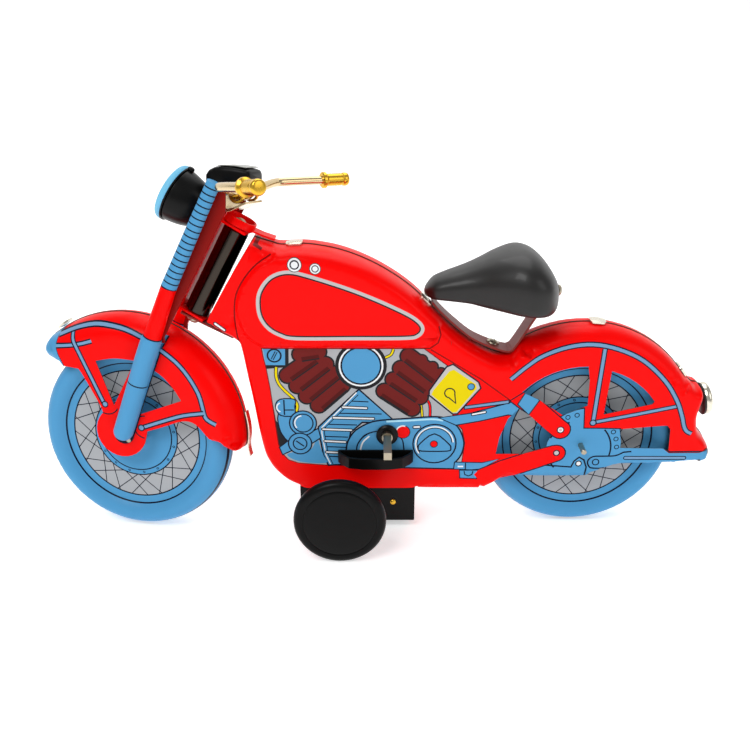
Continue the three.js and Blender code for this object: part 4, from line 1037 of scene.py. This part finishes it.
# ---- road wheels ---------------------------------------------------------------------
def road_wheel(name, centre, tyre, body, axle_half, place, nodes):
    """Two pressed halves with a printed hub, crossed spokes, rim and tyre."""
    shape = curve([(1.0, 4.7), (4, 4.7), (5.4, 3.9), (9, 3.7), (13.6, 3.6), (15.6, 3.3), (20, 3.2),
            (24.4, 3.2), (26.6, 3.6), (28.4, 4.9), (30.4, 5.8), (32.2, 5.7), (tyre - 1.5, 4.5),
            (tyre - 0.4, 2.6), (tyre, SEAM)], 6)
    radii, heights = np.array(shape).T
    lengths = np.concatenate([[0], np.cumsum(np.hypot(np.diff(radii), np.diff(heights)))]) + radii[0]
    slope_r, slope_y = np.gradient(radii, lengths), np.gradient(heights, lengths)
    develop = lambda r: float(np.interp(r, radii, lengths))

    def disc(radius, paint, at=None, count=96):
        if at is None:
            return [(circle((0, 0), develop(radius), count), paint)]
        return [(circle(at, radius, count), paint)]

    def polar(radius, degrees):
        angle = math.radians(degrees)
        return develop(radius) * math.cos(angle), develop(radius) * math.sin(angle)

    art = disc(tyre - 0.25, "line") + disc(tyre - 0.75, "blue")
    art += disc(27.25, "line") + disc(26.75, "blue") + disc(24.4, "line") + disc(23.9, "grey")
    pairs, lean = 18, 25
    for i in range(pairs):
        foot = 360 * i / pairs + (4 if name == "rear" else 9)
        for way in (-1, 1):
            tip = foot + way * lean * (0.85 if i % 2 else 1.1)
            ends = np.array([polar(15.6, foot), polar(24.1, tip)])
            art += stroke([tuple(ends[0] * (1 - t) + ends[1] * t) for t in (0, 0.5, 1)], 0.34)
    art += disc(16.05, "line") + disc(15.6, "blue") + disc(13.95, "line") + disc(13.5, "blue")
    for i in range(16):
        at = polar(14.75, 22.5 * i + 8)
        art += disc(0.5, "line", at, 10) + disc(0.24, "blue", at, 8)
    guides = [p for s in np.linspace(lengths[0] + 1, lengths[-1] - 0.4, 22)
              for p in circle((0, 0), s, max(12, int(s * 2.2)))]
    outline = circle((0, 0), lengths[-1], 128)
    flat, triangles, paints = cut_sheet(outline, [circle((0, 0), lengths[0] + 0.01, 16)], art, "blue", 6,
            guides)
    s = np.maximum(np.linalg.norm(flat, axis=1), 1e-6)
    around = flat / s[:, None]
    r, y = np.interp(s, lengths, radii), np.interp(s, lengths, heights)
    across, out = np.interp(s, lengths, slope_r), -np.interp(s, lengths, slope_y)
    points = np.stack([centre[0] + around[:, 0] * r, -y, centre[1] + around[:, 1] * r], 1)
    normals = np.stack([around[:, 0] * out, -across, around[:, 1] * out], 1)
    tin = Tin()
    tin.add(points, normals, [list(t) for t in triangles], paints)
    for side, mirror in (("left", False), ("right", True)):
        half = tin.build(f"tin_wheel_{name}_{side}", body, "blue_tin", place, mirror, thick=WHEEL_SHEET)
        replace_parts(half, nodes[0 if side == "left" else 1])
    axle = lathe(f"axle_{name}", [(0, 0), (0.75, 0), (0.95, 0.2), (0.95, 2 * axle_half - 0.2),
                                  (0.75, 2 * axle_half), (0, 2 * axle_half)],
                 (centre[0], -axle_half, centre[1]), (0, 1, 0), STEEL, body, place, 20)
    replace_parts(axle, nodes[2])


# ---- headlamp, cowl, handlebar -------------------------------------------------------
LAMP_AXIS = np.array([-math.cos(math.radians(30)), 0, math.sin(math.radians(30))])
LAMP_RIM = np.array([-66.2, 0, 121.3])


def headlamp():
    back = LAMP_RIM - 11.4 * LAMP_AXIS
    outer = curve([(0, 0), (3.4, 0.3), (6.2, 1.9), (7.9, 4.8), (8.8, 8), (9.3, 11)], 4)
    shell_profile = outer + [(9.3, 11.2), (8.7, 11.2), (8.3, 8), (7.4, 5), (5.6, 2.6), (3.2, 1), (0, 0.8)]
    shell = lathe("lamp_shell", shell_profile, back, LAMP_AXIS, BLACK_TIN, "fork", FORK,
            angle=40)
    rim_profile = [(8.4, 0.1), (9.75, 0.1), (9.85, 0.35), (9.85, 0.6)]
    rim_profile += curve([(9.7, 0.7), (9.9, 1.4), (9.7, 2.2), (9.1, 2.8), (8.3, 3.0), (7.7, 2.7)], 3)
    rim_profile += [(7.7, 1), (8.4, 0.1)]
    rim_paints = [BLACK_TIN] * 3 + [PAINT["light_rim"]] * (len(rim_profile) - 4)
    rim = lathe("lamp_rim", rim_profile, LAMP_RIM, LAMP_AXIS, rim_paints, "fork", FORK)
    lens_profile = curve([(7.6, 0.6), (7.5, 1.6), (5, 2.5), (2.6, 2.9), (0, 3.05)], 4) + [(0, 0.6)]
    lens = lathe("lamp_lens", lens_profile, LAMP_RIM, LAMP_AXIS, LENS, "fork", FORK, angle=50)
    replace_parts(shell, "headlamp_shell")
    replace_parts(rim, "headlamp_rim")
    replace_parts(lens, "headlamp_lens")
    upward = np.array([math.sin(math.radians(30)), 0, math.cos(math.radians(30))])
    screw_profile = curve([(0, -0.6), (0.8, -0.4), (1.2, 0.4), (0.9, 1.1), (0, 1.3)], 3)
    screw_at = LAMP_RIM + upward * 9.3 - LAMP_AXIS * 0.4
    lathe("lamp_screw", screw_profile, screw_at, upward, BLACK_TIN, "fork", FORK, 16)


def loft(name, sections, paint, body, place=STILL, angle=50):
    """A closed body through rings of 3-D points, with flat ends."""
    points = [p for section in sections for p in section]
    faces = skin(len(sections), len(sections[0]))
    return crisp(mesh_object(name, points, faces, paint, body, place), angle)


def rounded_section(half, low, high, x, power_high, power_low, count=36):
    """A closed ring across the toy: a superellipse with different corners above and below."""
    middle = low + (high - low) * 0.42
    made = []
    for i in range(count):
        angle = 2 * math.pi * i / count
        c, s = math.cos(angle), math.sin(angle)
        power = 2 / (power_high if s > 0 else power_low)
        reach = high - middle if s > 0 else middle - low
        across = half * math.copysign(abs(c) ** power, c)
        made.append((x, across, middle + reach * math.copysign(abs(s) ** power, s)))
    return made


def cowl():
    """The black fairing behind the lamp, with its flat dial plate."""
    given = np.array([(-55.2, 2.6, 126.4, 127.9), (-54.7, 3.9, 125.8, 128.6), (-53.3, 5.2, 125.4, 129.9),
                      (-51.1, 6, 125.4, 130.8), (-48, 6.4, 125.4, 131.1), (-44.4, 6.4, 125.4, 130.9),
                      (-41, 6.2, 125.4, 130.4), (-39.4, 5.9, 125.7, 129.9), (-38.9, 5.2, 126.2, 129.2)])
    steps = np.linspace(0, len(given) - 1, 33)
    rows = [[np.interp(t, range(len(given)), given[:, k]) for k in range(4)] for t in steps]
    sections = [rounded_section(half, low, high, x, 5, 8, 40) for x, half, low, high in rows]
    body = loft("cowl_body", sections, BLACK_PLASTIC, "fork", CROWN, 45)
    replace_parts(body, "instrument_cowl")
    dial_line = [(-50, 130.9), (-48.4, 131.1), (-44, 131), (-40, 130.5)]
    ribbon("cowl_dial", dial_line, 5.2, 0.25, GREY_GLOSS, "fork", CROWN)


BAR_CLAMP = np.array((-43.4, 3.4, 121.6))
BAR_BEND = np.array((-41, 23.7, 125.1))
BAR_FLANGE = np.array((-28.1, 35.1, 125.9))
BAR_RADIUS = 1.5


def bar_line():
    """The bar's middle line from the left grip to the right one."""
    half = [BAR_CLAMP, (-42.8, 8, 122.8), (-41.8, 17, 124.4), (-41.2, 21.6, 125), BAR_BEND + (0.9, 1, 0.1),
            BAR_FLANGE + (-6.4, -5.2, -0.3), BAR_FLANGE + (0.8, 0.7, 0)]
    half = [np.array(p, float) for p in half]
    return curve([p * (1, -1, 1) for p in half[::-1]] + half, 6)


def handlebar():
    bar = sweep("handlebar_tube", bar_line(), BAR_RADIUS, WARM_CHROME, "fork", CROWN, 20)
    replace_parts(bar, "handlebar")
    grip_profile = [(0, 0), (2.5, 0), (2.9, 0.3), (2.9, 1.3), (2.5, 1.7), (2.2, 2)]
    grip_profile += [(2.25 - 0.08 * (i % 2), 2.3 + 0.35 * i) for i in range(15)]
    grip_profile += [(2.1, 7.7), (2.1, 8)] + curve([(2.3, 8.2), (2.4, 8.8), (2.35, 9.6), (2, 10.2),
            (1.1, 10.4), (0, 10.45)], 3)
    for side, name in ((-1, "left"), (1, "right")):
        flip = np.array([1, side, 1])
        start, bend = BAR_FLANGE * flip, BAR_BEND * flip
        along = (start - bend) / np.linalg.norm(start - bend)
        grip = lathe(f"grip_brass_{name}", grip_profile, start + along * 0.1, along, BRASS, "fork",
                CROWN, 32, 30)
        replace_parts(grip, f"grip_{name}")
        collar = [(2.0, 0), (2.5, 0), (2.7, 0.3), (2.7, 1.4), (2.5, 1.7), (2.0, 1.7), (1.8, 1.4),
                (1.8, 0.3), (2.0, 0)]
        start = (-43.1, side * 5 - (1.7 if side < 0 else 0), 122)
        ring_piece = lathe(f"ferrule_brass_{name}", collar, start, (0, 1, 0), BRASS, "fork",
                           CROWN, 32, 30)
        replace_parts(ring_piece, f"ferrule_{name}")
    line = [(-49.6, 121.2), (-47.2, 117.4), (-46.2, 116.7), (-45, 116.9), (-39.6, 119.3)]
    bracket = ribbon("bar_bracket", line, 7, 0.7, WARM_CHROME, "fork", CROWN)
    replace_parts(bracket, "handlebar_bracket")


# ---- seat, tail lamp, tabs -----------------------------------------------------------
def seat():
    """The saddle with its stud, bracket and screw, and the tail lamp.

    Each station is (x, low, high, half width).
    """
    stations = [(16.9, 88.6, 89.6, 1.6), (17.6, 88.2, 91.2, 3.6), (20, 87.6, 93.8, 6.6),
            (24, 87.4, 95.6, 8), (28, 87.2, 97, 9.2), (32, 86.9, 98.5, 10.4), (36, 86.2, 100.3, 12.2),
            (42, 85.5, 103, 16), (48, 84.7, 104.6, 19), (53, 84.3, 103.4, 19.4), (57, 84.5, 100.2, 17.6),
            (59.6, 85.2, 96.8, 13.6), (61.3, 86.4, 93.8, 8.6), (62, 87.6, 91.8, 4.4)]
    sections = []
    for x, low, high, half in curve(stations, 4):
        sections.append(rounded_section(half, low, high, x, 2.5, 6, 56))
    saddle = loft("saddle_cover", sections,
                  SADDLE_PLASTIC, "root", STILL, 60)
    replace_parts(saddle, "saddle")
    rivet = lathe("saddle_stud", curve([(0, 0), (1.7, 0.1), (1.9, 0.6), (1.2, 1.2), (0, 1.4)], 3),
            (62.6, 0, 89.4), (1, 0, 0), STEEL, "root", STILL, 20, 50)
    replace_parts(rivet, "saddle_rivet")
    rise = curve([(19.2, 86), (22, 82.8), (26, 78.9), (33, 73.1), (40, 69.7), (44.4, 68.2)], 4)
    line = rise + [(46.6, 67.8), (48.2, 68.6), (50, 71.4), (55.8, 81.6), (51, 82.6)]
    strap = ribbon("seat_strap", line, 4.4, 0.75, MAROON, "root", STILL, 0.2)
    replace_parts(strap, "seat_bracket")
    screw_piece = slotted_screw("seat_bolt", (41.4, 0, 70.3), (0.287, 0, 0.958), 2.3, 1.1, "root")
    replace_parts(screw_piece, "seat_screw")
    axis = np.array([0.985, 0, 0.17])
    axis /= np.linalg.norm(axis)
    base = np.array([117.1, 0, 48.6])
    gasket = lathe("tail_ring", [(0, 0), (5.6, 0), (5.9, 0.2), (5.9, 0.6), (5.6, 0.8), (0, 0.8)], base,
            axis, BLACK_RUBBER, "root", STILL, 40)
    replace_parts(gasket, "tail_gasket")
    dome = curve([(5.7, 0), (5.9, 0.9), (5.6, 1.9), (4.4, 2.5), (2.3, 2.8), (0, 2.9)], 4)
    lamp = lathe("tail_dome", [(0, 0)] + dome, base + axis * 0.9, axis, BARE_TIN, "root",
            STILL, 40)
    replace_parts(lamp, "tail_lamp")


def slotted_screw(name, at, direction, radius, high, body, place=STILL):
    """A dome screw head with a slot cut across it."""
    u, v = frame_along(direction)
    along = np.array(direction, float) / np.linalg.norm(direction)
    count, slot = 33, 0.28
    points, faces = [], []
    grid = np.linspace(-radius, radius, count)
    index = {}
    for i, a in enumerate(grid):
        for j, b in enumerate(grid):
            r = max(math.hypot(a, b), 1e-6)
            square = max(abs(a), abs(b))
            a2, b2 = a * square / r, b * square / r
            rise = high * (1 - (square / radius) ** 2.6 * 0.75) if square < radius else 0
            if abs(a2) < slot and square < radius:
                rise -= high * 0.55
            index[(i, j)] = len(points)
            points.append(np.array(at) + u * a2 + v * b2 + along * rise)
    for i in range(count - 1):
        for j in range(count - 1):
            faces.append([index[(i, j)], index[(i + 1, j)], index[(i + 1, j + 1)], index[(i, j + 1)]])
    border = [index[(i, 0)] for i in range(count)] + [index[(count - 1, j)] for j in range(1, count)]
    border += [index[(i, count - 1)] for i in range(count - 2, -1, -1)]
    border += [index[(0, j)] for j in range(count - 2, 0, -1)]
    faces.append(border[::-1])
    return crisp(mesh_object(name, points, faces, STEEL, body, place), 30)


def tab(name, at, slope, node, body="root", place=STILL, length=5.6, half=3.0):
    """A tab bent flat over a seam: rounded ends, lying on the crest."""
    c, s = math.cos(math.radians(slope)), math.sin(math.radians(slope))
    rows, columns = 9, 9
    points, faces = [], []
    for layer in (0.75, 0.15):
        for i in range(rows):
            for j in range(columns):
                u = (i / (rows - 1) - 0.5) * length
                v = (j / (columns - 1) - 0.5) * 2 * half
                corner = max(0, (abs(2 * u / length) ** 4 + abs(v / half) ** 4) - 1)
                u *= 1 - 0.16 * min(corner, 1)
                v *= 1 - 0.16 * min(corner, 1)
                sag = -0.32 * (v / half) ** 2 * half * 0.42 - 0.25 * (2 * u / length) ** 2
                w = layer + sag + 0.25
                points.append((at[0] + u * c - w * s, v, at[1] + u * s + w * c))
    layer = rows * columns
    for i in range(rows - 1):
        for j in range(columns - 1):
            a, b = i * columns + j, (i + 1) * columns + j
            d, e = a + 1, b + 1
            faces += [[a, b, e, d], [a + layer, d + layer, e + layer, b + layer]]
    border = [i * columns for i in range(rows)] + [(rows - 1) * columns + j for j in range(1, columns)]
    border += [i * columns + columns - 1 for i in range(rows - 2, -1, -1)]
    border += list(range(columns - 2, 0, -1))
    for a, b in zip(border, border[1:] + border[:1]):
        faces.append([b, a, a + layer, b + layer])
    ob = crisp(mesh_object(name, points, faces, BARE_TIN, body, place), 40)
    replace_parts(ob, node)


def tabs():
    tab("tab_tank_front", (-27, 105.7), 4, "tank_tab_front")
    tab("tab_tank_rear", (17.4, 86.1), -45, "tank_tab_rear")
    tab("tab_fender_top", (77.2, 78.2), -5, "fender_tab_top")
    tab("tab_fender_rear", (108.9, 59.7), -54, "fender_tab_rear")
    tab("tab_nose", (-111.6, 74.6), 37, "front_tab_nose", "fork", FORK, 5, 2.6)
    line = curve([(-44.8, 46.6), (-43.9, 42), (-43.7, 38), (-44.2, 33.4), (-43.5, 29.8)], 4)[::-1]
    tail = ribbon("tab_tail", line, 1.5, 0.45, BARE_TIN, "fork", FORK, 0.1)
    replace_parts(tail, "front_tab_tail")


# ---- motor cover, drive wheels, footrests, motor -------------------------------------
def underside():
    x0, x1, half, bottom, top = -27.4, 14.6, 9.1, 2.9, 17.4
    for side, name in ((-1, "left"), (1, "right")):
        start = DRIVE[0], side * 27.9, DRIVE[1]
        profile = [(0, 0), (1.6, 0), (1.7, 0.5), (11, 0.5), (11.6, 0.1), (14.4, 0)]
        profile += curve([(14.9, 0.1), (15.9, 0.9), (15.9, 2.4), (15.2, 3.5), (14, 4), (13, 3.9),
                (12.6, 3.7)], 3)
        profile += curve([(12.3, 3.9), (9, 4.5), (5.8, 4.85), (5.2, 4.9), (2.6, 5.1), (0, 5.2)], 4)
        wheel = lathe(f"drive_tyre_{name}", profile, start, (0, side, 0), BLACK_PLASTIC, "drive_shaft",
                STILL, 72, 40)
        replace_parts(wheel, f"drive_wheel_{name}")
    axle = lathe("drive_rod", [(0, 0), (1.1, 0), (1.3, 0.2), (1.3, 57.4), (1.1, 57.6), (0, 57.6)],
                 (DRIVE[0], -28.8, DRIVE[1]), (0, 1, 0), STEEL, "drive_shaft", STILL, 24)
    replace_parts(axle, "drive_axle")
    cover_box(x0, x1, half, bottom, top)
    for side, name in ((-1, "left"), (1, "right")):
        stud = lathe(f"cover_stud_{name}", curve([(1.15, 0), (1.05, 0.5), (0.6, 0.8), (0, 0.9)], 3),
                     (6.6, side * 9.05, 11), (0, side, 0), BRASS, "root", STILL, 18, 50)
        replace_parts(stud, f"cover_rivet_{name}")
    bush = lathe("bush_ring", [(2.1, 0), (3.2, 0), (3.2, 1.2), (3.9, 1.4), (3.9, 1.9), (3.3, 2.4),
            (2.1, 2.4), (2.1, 0)], (WIND[0], -9, WIND[1]), (0, -1, 0), BLACK_TIN, "root",
            STILL, 32)
    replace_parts(bush, "shaft_bush")


def cover_box(x0, x1, half, bottom, top):
    """The black tin tray under the motor, open at the top, with rounded lower edges."""
    wall = 0.6
    points, faces = [], []
    for inset, level in ((0, top), (0, bottom), (wall, bottom + wall), (wall, top)):
        points += [(x0 + inset, -half + inset, level), (x1 - inset, -half + inset, level),
                   (x1 - inset, half - inset, level), (x0 + inset, half - inset, level)]
    faces += [[i + 4, (i + 1) % 4 + 4, (i + 1) % 4, i] for i in range(4)]
    faces += [[i + 8, i + 12, (i + 1) % 4 + 12, (i + 1) % 4 + 8] for i in range(4)]
    faces += [[i, (i + 1) % 4, (i + 1) % 4 + 12, i + 12] for i in range(4)]
    faces += [[7, 6, 5, 4], [8, 9, 10, 11]]
    box = crisp(mesh_object("cover_tray", points, faces, BLACK_TIN, "root"), 30, 0.5, 3)
    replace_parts(box, "motor_cover")


def footrests():
    """Black trays beside the engine, with a raised rim along the front."""
    x0, x1, deep, top, floor_at = -13.2, 13.6, 7.4, 33.2, 29
    body_side = 10.2
    shape = [(x0, 0), (x0, -1.6), (x0 + 1.2, -3.6), (x0 + 4, -deep + 1), (x0 + 9, -deep), (x1 - 9, -deep),
             (x1 - 4, -deep + 1), (x1 - 1.2, -3.6), (x1, -1.6), (x1, 0)]
    for side, name in ((-1, "left"), (1, "right")):
        points = []
        levels = ((0, floor_at), (0, top), (0.8, top), (0.9, top - 0.9), (1.0, floor_at + 0.8))
        for inset, level in levels:
            inner = grow(shape, -inset) if inset else shape
            points += [(x, -side * (y - body_side), level) for x, y in inner]
        faces = skin(len(levels), len(shape))
        if side > 0:
            faces = [f[::-1] for f in faces]
        rest = crisp(mesh_object(f"footrest_tray_{name}", points, faces, BLACK_PLASTIC, "root"), 30, 0.3, 3)
        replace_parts(rest, f"footrest_{name}")


def finish_nodes():
    """Motor pieces and the fork's yoke keep their CAD shapes and get their finishes."""
    finishes = {STEEL: ["motor_plate_left", "motor_plate_right", "motor_pillar_front",
            "motor_pillar_rear", "motor_pillar_top", "spring_pillar", "middle_pinion", "drive_pinion",
            "click", "winding_arbor", "ratchet_wheel"], BRASS: ["great_gear", "middle_gear"],
            SPRING: ["mainspring"], RED: ["fork_yoke"], }
    for finish, names in finishes.items():
        for name in names:
            node = frame["nodes"][name]
            node.data.materials.clear()
            node.data.materials.append(finish)


head_pieces()
fork()
road_wheel("rear", REAR, 34.9, "rear_wheel", 15.8, STILL, ["rear_wheel_left", "rear_wheel_right",
        "rear_axle"])
road_wheel("front", FRONT, 35.5, "front_wheel", 9.6, FORK, ["front_wheel_left", "front_wheel_right",
        "front_axle"])
headlamp()
cowl()
handlebar()
seat()
tabs()
underside()
footrests()
finish_nodes()


# ---- stage ---------------------------------------------------------------------------
def stage():
    """Pale floor, soft studio lights and the camera."""
    world = bpy.data.worlds.new("studio")
    bpy.context.scene.world = world
    world.use_nodes = True
    world.node_tree.nodes["Background"].inputs["Color"].default_value = (1, 1, 1, 1)
    world.node_tree.nodes["Background"].inputs["Strength"].default_value = SKY_LIGHT
    sweep_line = [(-1.6, 0), (0.9, 0)] + [(0.9 + 0.8 * math.sin(a), 0.8 - 0.8 * math.cos(a))
                                          for a in np.radians(np.arange(10, 91, 10))] + [(1.7, 2.2)]
    points = [(x, y, z) for y, z in sweep_line for x in (-2.6, 2.6)]
    faces = [(2 * i, 2 * i + 1, 2 * i + 3, 2 * i + 2) for i in range(len(sweep_line) - 1)]
    floor_mesh = bpy.data.meshes.new("floor")
    floor_mesh.from_pydata(points, [], faces)
    floor_mesh.polygons.foreach_set("use_smooth", [True] * len(faces))
    floor = bpy.data.objects.new("floor", floor_mesh)
    bpy.context.scene.collection.objects.link(floor)
    paper = material("floor_paper", (0.9, 0.9, 0.9, 1), 0.75, ripple=0.02, ripple_size=30)
    paper.node_tree.nodes["Principled BSDF"].inputs["Emission Color"].default_value = (1, 1, 1, 1)
    paper.node_tree.nodes["Principled BSDF"].inputs["Emission Strength"].default_value = PAPER_GLOW
    floor_mesh.materials.append(paper)
    for name, place, size, power in LIGHTS:
        lamp = bpy.data.lights.new(name, "AREA")
        lamp.energy = power
        lamp.size = size
        ob = bpy.data.objects.new(name, lamp)
        ob.location = place
        ob.rotation_euler = (Vector(LIGHTS_AIM) - Vector(place)).to_track_quat("-Z", "Y").to_euler()
        bpy.context.scene.collection.objects.link(ob)
    camera = bpy.data.cameras.new("camera")
    camera.lens = FOCAL_LENGTH
    camera.sensor_width = SENSOR_WIDTH
    view = bpy.data.objects.new("camera", camera)
    view.location = CAMERA_AT
    view.rotation_euler = (CAMERA_TILT, 0, 0)
    bpy.context.scene.collection.objects.link(view)
    bpy.context.scene.camera = view
    bpy.context.scene.view_settings.view_transform = "Standard"


stage()
